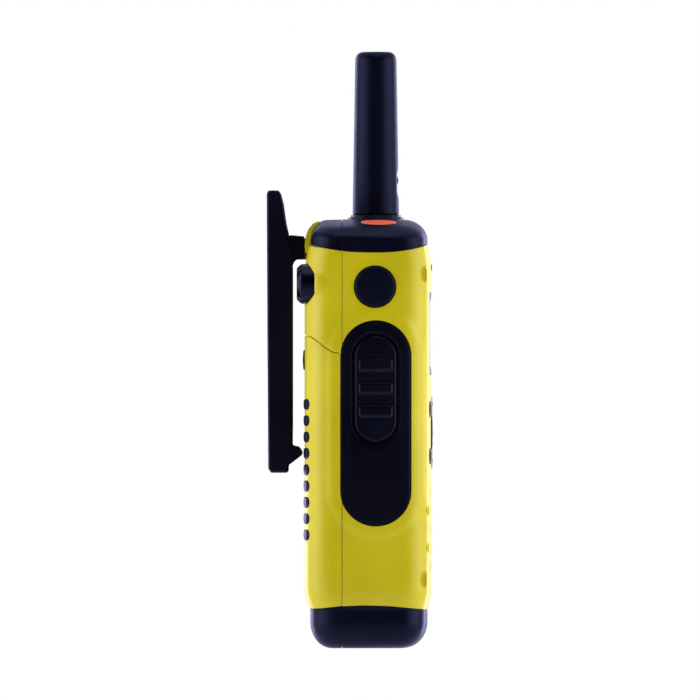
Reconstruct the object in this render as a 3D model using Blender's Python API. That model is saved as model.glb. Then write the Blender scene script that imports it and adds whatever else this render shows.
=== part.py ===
"""A rugged handheld two way radio: casings, bumpers, buttons, latches, belt clip and insides.

Dimensions are in millimetres and become metres where a mesh is made. The origin is the centre of the flat
underside. +Z is up, the display faces -Y, the talk button is on -X and the belt clip is behind, at +Y.
"""

import math

import bmesh
import bpy
from mathutils import Vector

MM = 0.001
GAP = 0.3  # air between neighbouring pieces

# Casing: half sizes of its cross-section, and how each side bows outwards in the middle
HALF_WIDTH = 30.0
HALF_DEPTH = 20.2
SIDE_BOW = 0.8
FRONT_BOW = 1.6
REAR_BOW = 0.7
FRONT_CORNER = 7.5
REAR_CORNER = 8.0
WALL = 2.0
SEAM_Y = 8.25

# Edges where the yellow casing meets the bumpers and the battery door
TOP_EDGE_MIDDLE = 125.9
TOP_EDGE_END = 128.9
BOTTOM_EDGE_MIDDLE = 13.65
BOTTOM_EDGE_END = 12.3
DOOR_EDGE_SIDE = 93.8
DOOR_EDGE_REAR = 99.5

# Bumpers
BODY_TOP = 136.5
TOP_SHOULDER = 129.8
BOTTOM_SHOULDER = 7.6
CROWN_RADIUS = 118.0
BUMPER_WALL = 2.4

# Antenna, beside the alert button on the top
ANTENNA_X = 15.0
ANTENNA_Y = -2.5
ANTENNA_TIP = 190.0
ANTENNA_FOOT = 138.0
ANTENNA_FOOT_RADIUS = 7.36
ANTENNA_TIP_RADIUS = 6.44

# Round buttons and the oval side pads
ALERT_X = -15.0
ALERT_Y = -3.4
ALERT_RADIUS = 5.7
SIDE_BUTTON_Y = -2.2
SIDE_BUTTON_Z = 114.9
SIDE_BUTTON_RADIUS = 6.86
PAD_Y = -2.45
PAD_Z = 71.5
PAD_HALF_DEPTH = 11.17
PAD_HALF_HEIGHT = 32.6
TALK_Y = -2.4
TALK_Z = 82.4
TALK_HALF_DEPTH = 6.65
TALK_HALF_HEIGHT = 16.85
TALK_RIB_PITCH = 7.3

# Port on the right side
PORT_Y = -3.5
PORT_Z = 112.8
PORT_HALF_DEPTH = 4.6
PORT_HALF_HEIGHT = 7.5

# Front face
DISPLAY_Z = 100.0
DISPLAY_HALF_WIDTH = 20.1
DISPLAY_HALF_HEIGHT = 13.6
NAV_Z = 68.5
NAV_RADIUS = 11.9
SELECT_RADIUS = 4.9
KEY_X = 17.5
KEY_HALF_WIDTH = 3.8
KEY_HALF_HEIGHT = 2.4
UPPER_KEY_Z = 76.0
LOWER_KEY_Z = 61.0
SPEAKER_Z = 37.8
SPEAKER_HOLE_RADIUS = 1.45
SPEAKER_COLUMN_PITCH = 5.85
SPEAKER_ROW_PITCH = 11.9
LED_Z = 121.0
LED_RADIUS = 1.3
MICROPHONE_Z = 18.3

# Battery compartment
CELL_RADIUS = 7.25
CELL_PITCH = 14.9
CELL_Y = 9.0
CELL_FOOT = 21.5
CELL_LENGTH = 49.5
TRAY_FOOT = 17.0
TRAY_HEAD = 78.5
TRAY_HALF_WIDTH = 23.9
BULKHEAD_Y = 0.3

# Rear grip ribs and latches
RIB_PITCH = 5.19
RIB_COUNT = 9
LOWEST_RIB_Z = 36.0
RIB_HALF_HEIGHT = 1.65
KNOB_X = 21.5
KNOB_Z = 115.8
KNOB_RADIUS = 6.3

# Belt clip
PIVOT_Y = 26.6
PIVOT_Z = 127.0
CLIP_HALF_WIDTH = 9.6
CLIP_FLANGE = 1.8
BLOCK_HALF_WIDTH = 7.4

# Case screws, and the torch in the underside
SCREW_X = 23.2
SCREW_ROWS = (104.5, 121.0)
LIGHT_Y = -6.2
LIGHT_RADIUS = 4.0


def clear_scene():
    for item in list(bpy.data.objects):
        bpy.data.objects.remove(item)


def material(name, colour, roughness, metallic=0.0):
    made = bpy.data.materials.new(name)
    made.use_nodes = True
    shader = made.node_tree.nodes["Principled BSDF"]
    shader.inputs["Base Color"].default_value = (*colour, 1.0)
    shader.inputs["Roughness"].default_value = roughness
    shader.inputs["Metallic"].default_value = metallic
    return made


clear_scene()
YELLOW = material("yellow_casing", (0.62, 0.55, 0.03), 0.42)
RUBBER = material("bumper_rubber", (0.012, 0.013, 0.03), 0.55)
BLACK = material("black_plastic", (0.010, 0.010, 0.018), 0.40)
ORANGE = material("alert_orange", (0.80, 0.13, 0.05), 0.45)
GREY = material("key_grey", (0.20, 0.20, 0.24), 0.35)
CLEAR = material("clear_window", (0.05, 0.06, 0.07), 0.08)
SCREEN = material("display_grey", (0.30, 0.36, 0.30), 0.30)
BOARD = material("board_green", (0.02, 0.16, 0.07), 0.45)
STEEL = material("bright_steel", (0.60, 0.60, 0.62), 0.28, 1.0)
BRASS = material("brass", (0.75, 0.55, 0.22), 0.30, 1.0)
CELL = material("cell_wrap", (0.10, 0.11, 0.13), 0.30)
CLOTH = material("speaker_cloth", (0.02, 0.02, 0.02), 0.90)
SEAL = material("seal_rubber", (0.06, 0.06, 0.07), 0.70)


# ---------------------------------------------------------------- outlines and solids


def skin(rings, closed=False):
    """A closed mesh through point rings of one length. A ring of one point is an apex."""
    made = bmesh.new()
    rows = [[made.verts.new(Vector(point) * MM) for point in ring] for ring in rings]
    pairs = list(zip(rows, rows[1:]))
    if closed:
        pairs.append((rows[-1], rows[0]))
    for low, high in pairs:
        count = max(len(low), len(high))
        for i in range(count):
            j = (i + 1) % count
            corners = [low[i % len(low)], low[j % len(low)], high[j % len(high)], high[i % len(high)]]
            made.faces.new(list(dict.fromkeys(corners)))
    if not closed:
        for row in (rows[0], rows[-1]):
            if len(row) > 2:
                made.faces.new(row)
    bmesh.ops.recalc_face_normals(made, faces=made.faces)
    return made


def at(axis, u, v, along):
    """The point (u, v) of an outline drawn across an axis, at a distance along it."""
    return {"X": (along, u, v), "Y": (u, along, v), "Z": (u, v, along)}[axis]


def rounded(u, v, half_u, half_v, radius, steps=4):
    """A rectangle with round corners, or a slot or circle where the radius reaches its sides."""
    flat_u = half_u - radius
    flat_v = half_v - radius
    points = []
    for quarter, (su, sv) in enumerate(((1, 1), (-1, 1), (-1, -1), (1, -1))):
        last = steps if (quarter % 2 == 0 and flat_u < MM) or (quarter % 2 and flat_v < MM) else steps + 1
        for step in range(last):
            angle = math.pi / 2 * (quarter + step / steps)
            across = u + su * flat_u + radius * math.cos(angle)
            points.append((across, v + sv * flat_v + radius * math.sin(angle)))
    return points


def circle(u, v, radius, steps=20):
    turn = [2 * math.pi * (i + 0.5) / steps for i in range(steps)]
    return [(u + radius * math.cos(a), v + radius * math.sin(a)) for a in turn]


def ring_at(axis, outline, along):
    return [at(axis, u, v, along) for u, v in outline]


def prism(axis, outline, start, end):
    return skin([ring_at(axis, outline, start), ring_at(axis, outline, end)])


def box(low, high):
    (x0, y0, z0), (x1, y1, z1) = low, high
    return prism("Z", [(x0, y0), (x1, y0), (x1, y1), (x0, y1)], z0, z1)


def stacked(axis, layers, closed=False):
    """Outlines of one point count, each at its own distance along the axis."""
    return skin([ring_at(axis, outline, along) for outline, along in layers], closed)


def turned(axis, u, v, profile, steps=20):
    """A piece turned about an axis through (u, v). Profile points are (radius, distance along)."""
    rings = []
    for radius, along in profile:
        outline = circle(u, v, radius, steps) if radius > 0 else [(u, v)]
        rings.append(ring_at(axis, outline, along))
    return skin(rings, closed=profile[0][0] > 0 and profile[-1][0] > 0 and len(profile) > 3)


def joined(*pieces):
    """Several separate closed meshes in one, as a cutter for several holes."""
    whole = bmesh.new()
    for piece in pieces:
        spare = bpy.data.meshes.new("spare")
        piece.to_mesh(spare)
        whole.from_mesh(spare)
        bpy.data.meshes.remove(spare)
        piece.free()
    return whole


def sliced(shape, y, keep_front):
    """The part of a solid in front of (or behind) a plane across Y, with the cut closed."""
    geometry = shape.verts[:] + shape.edges[:] + shape.faces[:]
    bmesh.ops.bisect_plane(
        shape,
        geom=geometry,
        plane_co=(0, y * MM, 0),
        plane_no=(0, 1, 0),
        clear_outer=keep_front,
        clear_inner=not keep_front,
    )
    rim = [edge for edge in shape.edges if edge.is_boundary]
    bmesh.ops.holes_fill(shape, edges=rim)
    bmesh.ops.recalc_face_normals(shape, faces=shape.faces)
    return shape


def place(name, shape, finish=None, origin=(0, 0, 0)):
    """Makes the named object, with its own origin where it turns or slides."""
    anchor = Vector(origin) * MM
    for vert in shape.verts:
        vert.co -= anchor
    mesh = bpy.data.meshes.new(name)
    shape.to_mesh(mesh)
    shape.free()
    made = bpy.data.objects.new(name, mesh)
    made.location = anchor
    bpy.context.scene.collection.objects.link(made)
    if finish:
        mesh.materials.append(finish)
        mesh.shade_smooth()
        mesh.set_sharp_from_angle(angle=math.radians(32))
    return made


def helper(name, shape):
    """A hidden solid that only cuts or joins other pieces."""
    made = place(name, shape)
    made.hide_render = True
    made.display_type = "WIRE"
    return made


def combine(target, tool, operation):
    step = target.modifiers.new(tool.name, "BOOLEAN")
    step.operation = operation
    step.object = tool
    return target


def cut(target, tool):
    return combine(target, tool, "DIFFERENCE")


def add(target, tool):
    return combine(target, tool, "UNION")


# ---------------------------------------------------------------- the casing's outer form


def ramp(value, start, end):
    """0 at start, 1 at end, with level ends."""
    t = min(1.0, max(0.0, (value - start) / (end - start)))
    return t * t * (3 - 2 * t)


def narrowing(z):
    """How far the casing has drawn in towards its two ends: 0 in the middle, 1 at an end."""
    above = max(0.0, (z - 118.0) / 11.0)
    below = max(0.0, (24.0 - z) / 12.0)
    return min(1.0, max(above, below)) ** 2


def section(z, inset=0.0, steps=5):
    """The casing's outline at a height, as (x, y) points anticlockwise from its right side."""
    drawn = narrowing(z)
    half_x = HALF_WIDTH - SIDE_BOW - 1.4 * drawn - inset
    front = HALF_DEPTH - FRONT_BOW - 1.25 * drawn - inset
    rear = HALF_DEPTH - REAR_BOW - 1.8 * drawn - inset
    outline = []
    corners = ((1, 1, rear, REAR_CORNER), (-1, 1, rear, REAR_CORNER))
    corners += ((-1, -1, front, FRONT_CORNER), (1, -1, front, FRONT_CORNER))
    for quarter, (sx, sy, depth, radius) in enumerate(corners):
        round_by = radius - min(inset, radius - 1.0)
        cx = sx * (half_x - round_by)
        cy = sy * (depth - round_by)
        for step in range(steps + 1):
            angle = math.pi / 2 * (quarter + step / steps)
            outline.append((cx + round_by * math.cos(angle), cy + round_by * math.sin(angle)))
        if quarter % 2 == 0:
            # the rear and front faces, from one corner to the next
            far = -cx
            edge = sy * depth
            outline += [(cx + (far - cx) * t, edge) for t in (0.2, 0.4, 0.6, 0.8)]
        else:
            next_depth = front - FRONT_CORNER if sy > 0 else rear - REAR_CORNER
            outline += [(sx * half_x, cy + (-sy * next_depth - cy) * t) for t in (0.33, 0.67)]
    bowed = []
    for x, y in outline:
        depth, bow = (front, FRONT_BOW) if y < 0 else (rear, REAR_BOW)
        wide = x + x / half_x * SIDE_BOW * (1 - (y / (depth + bow)) ** 2)
        deep = y + y / depth * bow * (1 - (x / (half_x + SIDE_BOW)) ** 2)
        bowed.append((wide, deep))
    return bowed


def top_edge(y):
    """Height of the joint between the yellow casing and the top bumper."""
    away = min(1.0, abs(y - PAD_Y) / 16.4)
    return TOP_EDGE_MIDDLE + (TOP_EDGE_END - TOP_EDGE_MIDDLE) * away**2


def bottom_edge(y):
    """Height of the joint between the yellow casing and the bottom bumper."""
    away = min(1.0, abs(y) / 18.5)
    return BOTTOM_EDGE_MIDDLE + (BOTTOM_EDGE_END - BOTTOM_EDGE_MIDDLE) * away**2


def door_edge(y):
    """Height of the battery door's upper edge, which climbs towards the back."""
    return DOOR_EDGE_SIDE + (DOOR_EDGE_REAR - DOOR_EDGE_SIDE) * ramp(y, 9.5, 20.5)


def casing_ring(height_at, inset):
    """A ring of the casing's surface whose height follows a function of y."""
    ring = []
    for i, (_, near_y) in enumerate(section(PAD_Z, inset)):
        z = height_at(near_y)
        x, y = section(z, inset)[i]
        ring.append((x, y, z))
    return ring


def casing_tube(low_edge, high_edge, levels):
    """The casing wall between two edges, as a tube with a thickness."""

    def ring(level, inset):
        return casing_ring(lambda y: low_edge(y) + (high_edge(y) - low_edge(y)) * level, inset)

    outer = [ring(level, 0.0) for level in levels]
    inner = [ring(level, WALL) for level in reversed(levels)]
    return skin(outer + inner, closed=True)


def shrunk(ring, share):
    """The same ring drawn towards the vertical axis."""
    return [(x * share, y * share, z) for x, y, z in ring]


def crowned(ring, weight):
    """A ring lowered towards the sides by the crown across the top."""
    return [(x, y, z - weight * x * x / (2 * CROWN_RADIUS)) for x, y, z in ring]


def dome_rings(inset, top):
    """Rings of the top bumper's surface from its shoulder to the crown, with an apex."""
    rise = top - TOP_SHOULDER
    rings = []
    for angle in (30, 60, 90):
        turn = math.radians(angle)
        drawn = inset + rise * (1 - math.cos(turn))
        z = TOP_SHOULDER + rise * math.sin(turn)
        rim = [(x, y, z) for x, y in section(TOP_SHOULDER, drawn)]
        rings.append(crowned(rim, math.sin(turn)))
    flat = [(x, y, top) for x, y, _ in rings[-1]]
    rings.append(crowned(shrunk(flat, 0.5), 1.0))
    rings.append([(0.0, 0.0, top)])
    return rings


def top_bumper():
    """The whole hollow top bumper, before it is parted at the casing seam."""

    def edge(y):
        return top_edge(y) + GAP / 2

    outer = [casing_ring(edge, 0.0), [(x, y, TOP_SHOULDER) for x, y in section(TOP_SHOULDER)]]
    outer += dome_rings(0.0, BODY_TOP)
    inner = [casing_ring(edge, BUMPER_WALL)] + dome_rings(BUMPER_WALL, BODY_TOP - BUMPER_WALL)
    return skin(inner[::-1] + outer)


def bottom_bumper():
    """The whole hollow bottom bumper, before it is parted at the casing seam."""

    def edge(y):
        return bottom_edge(y) - GAP / 2

    def bowl(inset, foot):
        rise = BOTTOM_SHOULDER - foot
        rings = []
        for angle in (30, 60, 90):
            turn = math.radians(angle)
            drawn = inset + rise * (1 - math.cos(turn))
            z = BOTTOM_SHOULDER - rise * math.sin(turn)
            rings.append([(x, y, z) for x, y in section(BOTTOM_SHOULDER, drawn)])
        return rings

    outer = [casing_ring(edge, 0.0), [(x, y, BOTTOM_SHOULDER) for x, y in section(BOTTOM_SHOULDER)]]
    outer += bowl(0.0, 0.0)
    inner = [casing_ring(edge, BUMPER_WALL)] + bowl(BUMPER_WALL, BUMPER_WALL)
    return skin(inner[::-1] + outer)


def oval(y, z, half_depth, half_height):
    """A round-ended upright slot across X."""
    return rounded(y, z, half_depth, half_height, half_depth, steps=6)


# ---------------------------------------------------------------- holes shared by several pieces


def speaker_holes():
    """Staggered columns of small round holes inside an oval field."""
    found = []
    for column in range(-4, 5):
        for row in range(-3, 4):
            x = column * SPEAKER_COLUMN_PITCH
            z = SPEAKER_Z + row * SPEAKER_ROW_PITCH / 2
            if (column + row) % 2 and (x / 26.0) ** 2 + ((z - SPEAKER_Z) / 17.0) ** 2 < 1.0:
                found.append(prism("Y", circle(x, z, SPEAKER_HOLE_RADIUS, 8), -24, -14))
    return found


def key_places():
    return {
        "menu_key": (-KEY_X, UPPER_KEY_Z),
        "call_key": (KEY_X, UPPER_KEY_Z),
        "power_key": (-KEY_X, LOWER_KEY_Z),
        "scan_key": (KEY_X, LOWER_KEY_Z),
    }


def key_outline(x, z, grow=0.0):
    half_height = KEY_HALF_HEIGHT + grow
    return rounded(x, z, KEY_HALF_WIDTH + grow, half_height, half_height)


def front_holes():
    window = rounded(0, DISPLAY_Z, DISPLAY_HALF_WIDTH, DISPLAY_HALF_HEIGHT, 2.5)
    pieces = [prism("Y", window, -24, -14), prism("Y", circle(0, NAV_Z, NAV_RADIUS + GAP, 28), -24, -14)]
    pieces += [prism("Y", key_outline(x, z, GAP), -24, -14) for x, z in key_places().values()]
    pieces.append(prism("Y", circle(0, LED_Z, LED_RADIUS + GAP, 10), -24, -14))
    pieces.append(prism("Y", circle(0, MICROPHONE_Z, 0.6, 8), -24, -14))
    return joined(*pieces, *speaker_holes())


def pad_holes():
    """Oval openings for the side pads, which also notch the casing halves along their seam."""
    opening = oval(PAD_Y, PAD_Z, PAD_HALF_DEPTH + GAP, PAD_HALF_HEIGHT + GAP)
    return joined(prism("X", opening, -36, -24), prism("X", opening, 24, 36))


def side_holes():
    port = oval(PORT_Y, PORT_Z, PORT_HALF_DEPTH + GAP, PORT_HALF_HEIGHT + GAP)
    button = circle(SIDE_BUTTON_Y, SIDE_BUTTON_Z, SIDE_BUTTON_RADIUS + GAP, 24)
    return joined(prism("X", button, -36, -24), prism("X", port, 24, 36))


def screw_places():
    return [(side * SCREW_X, z) for z in SCREW_ROWS for side in (-1, 1)]


# ---------------------------------------------------------------- casings and bumpers


def front_housing():
    tube = casing_tube(bottom_edge, lambda y: top_edge(y) - GAP / 2, (0, 0.1, 0.5, 0.9, 1))
    made = place("front_housing", sliced(tube, SEAM_Y - GAP / 2, True), YELLOW)
    bosses = [turned("Y", x, z, [(2.3, -18.0), (2.3, 0.0)], 10) for x, z in screw_places()]
    bores = [turned("Y", x, z, [(1.45, -10.0), (1.45, 2.0)], 8) for x, z in screw_places()]
    add(made, helper("boss_joiner", joined(*bosses)))
    cut(made, helper("boss_bores", joined(*bores)))
    cut(made, helper("front_openings", front_holes()))
    cut(made, helper("side_openings", side_holes()))
    cut(made, PAD_OPENINGS)


def clip_boss():
    """The raised middle of the rear casing behind the top bumper, with the clip's rail on it."""
    profile = [(17.1, 126.0), (20.2, 126.0), (20.2, 131.0), (19.5, 132.4), (18.5, 133.7)]
    profile += [(17.4, 135.0), (17.1, 135.0)]
    return prism("X", profile, -9.0, 9.0)


def clip_rail():
    """A T-shaped rail: a narrow neck and a wider head, slid over by the clip's bracket."""
    neck = box((-2.8, 19.0, 123.6), (2.8, 22.4, 130.4))
    head = box((-4.6, 21.9, 123.6), (4.6, 23.4, 130.4))
    return neck, head


def rear_housing():
    tube = casing_tube(lambda y: door_edge(y) + GAP / 2, lambda y: top_edge(y) - GAP / 2, (0, 0.3, 0.7, 1))
    made = place("rear_housing", sliced(tube, SEAM_Y + GAP / 2, False), YELLOW)
    add(made, helper("boss_shape", clip_boss()))
    neck, head = clip_rail()
    add(made, helper("rail_neck", neck))
    add(made, helper("rail_head", head))
    wells = [prism("Y", circle(side * KNOB_X, KNOB_Z, KNOB_RADIUS + GAP, 24), 14.8, 26) for side in (-1, 1)]
    cut(made, helper("knob_wells", joined(*wells)))
    cut(made, PAD_OPENINGS)


def top_bumpers():
    front = place("top_bumper_front", sliced(top_bumper(), SEAM_Y - GAP / 2, True), RUBBER)
    pedestal = turned("Z", ANTENNA_X, ANTENNA_Y, [(9.6, 131.6), (8.9, 136.3)], 28)
    add(front, helper("antenna_pedestal", pedestal))
    antenna_hole = prism("Z", circle(ANTENNA_X, ANTENNA_Y, 4.8, 20), 125, 140)
    alert_hole = prism("Z", circle(ALERT_X, ALERT_Y, ALERT_RADIUS + GAP, 24), 125, 140)
    cut(front, helper("top_openings", joined(antenna_hole, alert_hole)))
    rear = place("top_bumper_rear", sliced(top_bumper(), SEAM_Y + GAP / 2, False), RUBBER)
    cut(rear, helper("boss_notch", box((-9.3, 16.8, 120), (9.3, 26, 140))))


def bottom_bumpers():
    front = place("bottom_bumper_front", sliced(bottom_bumper(), SEAM_Y - GAP / 2, True), RUBBER)
    cut(front, helper("light_opening", prism("Z", circle(0, LIGHT_Y, LIGHT_RADIUS + GAP), -3, 5)))
    place("bottom_bumper_rear", sliced(bottom_bumper(), SEAM_Y + GAP / 2, False), RUBBER)


# ---------------------------------------------------------------- battery door and its locks


def rear_surface(x, inset=0.0):
    """How far back the casing reaches at a distance from its middle."""
    half_x = HALF_WIDTH - SIDE_BOW - inset
    depth = HALF_DEPTH - REAR_BOW - inset
    radius = REAR_CORNER - inset
    beyond = max(0.0, abs(x) - (half_x - radius))
    flat = depth - radius + math.sqrt(max(0.0, radius**2 - beyond**2))
    return flat + REAR_BOW * (1 - (x / HALF_WIDTH) ** 2)


def rib_heights():
    return [LOWEST_RIB_Z + i * RIB_PITCH for i in range(RIB_COUNT)]


def door_hook(side):
    """An upright tongue from the door's top edge, whose lip a turned lock cam holds from below."""
    outline = [(26.6, 87.0), (26.6, 118.6), (24.2, 118.6), (24.2, 117.4), (25.4, 117.4), (25.4, 87.0)]
    hook = prism("Y", [(side * x, z) for x, z in outline], 12.3, 13.9)
    near, far = sorted((side * 25.4, side * 28.8))
    root = box((near, 12.3, 86.0), (far, 13.9, 92.0))
    return hook, root


def battery_door():
    tube = casing_tube(lambda y: bottom_edge(y) + GAP / 2, lambda y: door_edge(y) - GAP / 2, (0, 0.12, 0.5, 1))
    made = place("battery_door", sliced(tube, SEAM_Y + GAP / 2, False), YELLOW)
    for side, word in ((-1, "left"), (1, "right")):
        hook, root = door_hook(side)
        add(made, helper(f"hook_{word}", hook))
        add(made, helper(f"hook_root_{word}", root))
    half = RIB_HALF_HEIGHT + GAP
    slots = [box((-27.4, 12.0, z - half), (27.4, 24.0, z + half)) for z in rib_heights()]
    cut(made, helper("rib_slots", joined(*slots)))
    cut(made, helper("thumb_recess", prism("Y", rounded(0, 91.6, 8.3, 3.5, 3.5), 19.0, 24.0)))
    cut(made, PAD_OPENINGS)


def grip_insert():
    """Nine soft ribs on one backing sheet, curved to the back of the door."""
    stations = [-26.8, -25.0, -22.0, -12.0, 0.0, 12.0, 22.0, 25.0, 26.8]
    rings = []
    for x in stations:
        tip = rear_surface(x) + 0.25
        root = rear_surface(x, WALL) - GAP - 0.1
        back = root - 1.0
        low = LOWEST_RIB_Z - 3.0
        high = LOWEST_RIB_Z + (RIB_COUNT - 1) * RIB_PITCH + 3.0
        ring = [(x, back, low), (x, root, low)]
        for z in rib_heights():
            for y, dz in ((root, -1), (tip, -1), (tip, 1), (root, 1)):
                ring.append((x, y, z + dz * RIB_HALF_HEIGHT))
        ring += [(x, root, high), (x, back, high)]
        rings.append(ring)
    place("door_grip_insert", skin(rings), RUBBER)


def thumb_pad():
    layers = [(rounded(0, 91.6, 8.0, 3.2, 3.2), 19.3), (rounded(0, 91.6, 8.0, 3.2, 3.2), 20.4)]
    layers.append((rounded(0, 91.6, 7.4, 2.6, 2.6), 20.7))
    place("door_thumb_pad", stacked("Y", layers), RUBBER)


def door_locks():
    """Quarter-turn knobs and their cams. A cam points down, and turned it reaches under its hook."""
    for side, word in ((-1, "left"), (1, "right")):
        x = side * KNOB_X
        origin = (x, 15.5, KNOB_Z)
        profile = [(0, 12.3), (1.9, 12.3), (1.9, 15.5), (KNOB_RADIUS, 15.5), (KNOB_RADIUS, 21.3)]
        profile += [(5.0, 22.7), (0, 22.7)]
        knob = place(f"lock_knob_{word}", turned("Y", x, KNOB_Z, profile, 24), BLACK, origin)
        grooves = []
        for middle in (x - 3.6, x + 3.6):
            grooves.append(box((middle - 1.2, 21.7, KNOB_Z - 9), (middle + 1.2, 24, KNOB_Z + 9)))
        cut(knob, helper(f"knob_grooves_{word}", joined(*grooves)))
        arm = [(1.3, -3.5), (1.3, -2.0), (2.4, -0.4), (2.4, 0.4), (1.4, 1.95)]
        arm += [(-dx, dz) for dx, dz in reversed(arm)]
        blank = prism("Y", [(x + dx, KNOB_Z + dz) for dx, dz in arm], 12.6, 13.8)
        cam = place(f"lock_cam_{word}", blank, STEEL, origin)
        cut(cam, helper(f"cam_bore_{word}", prism("Y", circle(x, KNOB_Z, 2.05, 12), 11, 15)))


# ---------------------------------------------------------------- belt clip


def clip_bracket():
    """A block that wraps the casing's rail and carries the lever's pin between two ears."""
    profile = [(20.6, 122.7), (24.6, 122.7), (27.0, 124.4), (28.4, 125.6), (28.9, 127.0)]
    profile += [(28.4, 128.5), (27.0, 129.7), (24.6, 131.4), (20.6, 131.4)]
    made = place("clip_bracket", prism("X", profile, -BLOCK_HALF_WIDTH, BLOCK_HALF_WIDTH), BLACK)
    neck = box((-3.1, 19.0, 121.0), (3.1, 22.2, 130.8))
    head = box((-4.9, 21.6, 121.0), (4.9, 23.7, 130.8))
    cut(made, helper("rail_neck_slot", neck))
    cut(made, helper("rail_head_slot", head))
    cut(made, helper("spring_pocket", box((-4.7, 24.3, 120), (4.7, 30, 135))))
    cut(made, helper("ear_bores", prism("X", circle(PIVOT_Y, PIVOT_Z, 1.4, 12), -12, 12)))


def clip_lever():
    """The long clip: a shallow channel with a thumb pad above its pin and a hook at its foot."""
    profile = [(31.0, 55.7), (31.8, 57.0), (32.1, 100.0), (32.3, 144.4), (31.6, 145.6), (28.6, 145.6)]
    profile += [(27.6, 144.6), (26.8, 141.1), (26.0, 135.4), (25.1, 131.2), (24.3, 124.5), (23.9, 121.0)]
    profile += [(23.9, 71.0), (24.3, 64.6), (21.7, 64.2), (20.8, 62.4), (21.3, 60.8), (24.4, 58.4)]
    profile += [(25.4, 56.4), (26.4, 55.7)]
    origin = (0, PIVOT_Y, PIVOT_Z)
    made = place("clip_lever", prism("X", profile, -CLIP_HALF_WIDTH, CLIP_HALF_WIDTH), BLACK, origin)
    inside = CLIP_HALF_WIDTH - CLIP_FLANGE
    cut(made, helper("lever_channel", box((-inside, 20.0, 67.0), (inside, 30.0, 142.5))))
    cut(made, helper("lever_bores", prism("X", circle(PIVOT_Y, PIVOT_Z, 1.4, 12), -12, 12)))


def clip_pin():
    place("clip_pin", prism("X", circle(PIVOT_Y, PIVOT_Z, 1.15, 12), -9.3, 9.3), STEEL)


def clip_spring():
    """A coil of wire round the pin, between the bracket's ears."""
    turns, steps, half_length, coil_radius = 4, 10, 3.8, 1.75
    path = bpy.data.curves.new("clip_spring", "CURVE")
    path.dimensions = "3D"
    path.bevel_depth = 0.3 * MM
    path.bevel_resolution = 0
    path.use_fill_caps = True
    line = path.splines.new("POLY")
    count = turns * steps + 1
    line.points.add(count - 1)
    for i, point in enumerate(line.points):
        angle = 2 * math.pi * i / steps
        x = -half_length + 2 * half_length * i / (count - 1)
        y = PIVOT_Y + coil_radius * math.cos(angle)
        z = PIVOT_Z + coil_radius * math.sin(angle)
        point.co = (x * MM, y * MM, z * MM, 1)
    made = bpy.data.objects.new("clip_spring", path)
    path.materials.append(STEEL)
    bpy.context.scene.collection.objects.link(made)


# ---------------------------------------------------------------- antenna and buttons


def antenna():
    foot, tip = ANTENNA_FOOT_RADIUS, ANTENNA_TIP_RADIUS
    sheath = [(0, 184.3), (2.2, 184.3), (2.2, ANTENNA_FOOT), (foot, ANTENNA_FOOT), (tip, ANTENNA_TIP - 2.5)]
    sheath += [(tip - 0.8, ANTENNA_TIP - 0.8), (tip - 2.5, ANTENNA_TIP), (0, ANTENNA_TIP)]
    place("antenna_sheath", turned("Z", ANTENNA_X, ANTENNA_Y, sheath, 28), RUBBER)
    collar = [(4.8, 136.6), (8.7, 136.6), (8.1, 137.7), (4.8, 137.7)]
    place("antenna_collar", turned("Z", ANTENNA_X, ANTENNA_Y, collar, 28), BLACK)
    base = [(0, 126.0), (4.4, 126.0), (4.4, 136.6), (0, 136.6)]
    place("antenna_base", turned("Z", ANTENNA_X, ANTENNA_Y, base, 16), BRASS)
    element = [(0, 137.0), (1.8, 137.0), (1.8, 183.8), (0, 183.8)]
    place("antenna_element", turned("Z", ANTENNA_X, ANTENNA_Y, element, 10), BRASS)


def alert_button():
    profile = [(0, 130.2), (6.7, 130.2), (6.7, 131.2), (ALERT_RADIUS, 131.2), (ALERT_RADIUS, 135.4)]
    profile += [(ALERT_RADIUS - 0.4, 135.7), (0, 135.8)]
    place("alert_button", turned("Z", ALERT_X, ALERT_Y, profile, 24), ORANGE, (ALERT_X, ALERT_Y, 135.8))
    place("alert_switch", box((-18, -6.4, 126.0), (-12, -0.4, 129.2)), BLACK)


def side_button():
    radius = SIDE_BUTTON_RADIUS
    profile = [(0, -30.5), (radius - 2.5, -30.4), (radius - 0.5, -30.05), (radius, -29.7), (radius, -27.3)]
    profile += [(7.9, -27.3), (7.9, -26.5), (0, -26.5)]
    shape = turned("X", SIDE_BUTTON_Y, SIDE_BUTTON_Z, profile, 24)
    place("side_button", shape, RUBBER, (-30.5, SIDE_BUTTON_Y, SIDE_BUTTON_Z))
    place("side_switch", box((-25.2, -5.2, 112.0), (-22.2, -0.1, 117.8)), BLACK)


def side_surface(y, inset=0.0):
    """How far out the casing's side reaches at a distance in front of or behind its middle."""
    half_x = HALF_WIDTH - SIDE_BOW - inset
    depth, radius = (HALF_DEPTH - FRONT_BOW, FRONT_CORNER) if y < 0 else (HALF_DEPTH - REAR_BOW, REAR_CORNER)
    beyond = max(0.0, abs(y) - (depth - radius))
    radius -= inset
    flat = half_x - radius + math.sqrt(max(0.0, radius**2 - beyond**2))
    return flat + SIDE_BOW * (1 - (y / HALF_DEPTH) ** 2)


def on_side(side, outline, proud, inset=0.0):
    """An outline laid on the casing's side, raised from it or set into it."""
    return [(side * (side_surface(y, inset) + proud), y, z) for y, z in outline]


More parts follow.
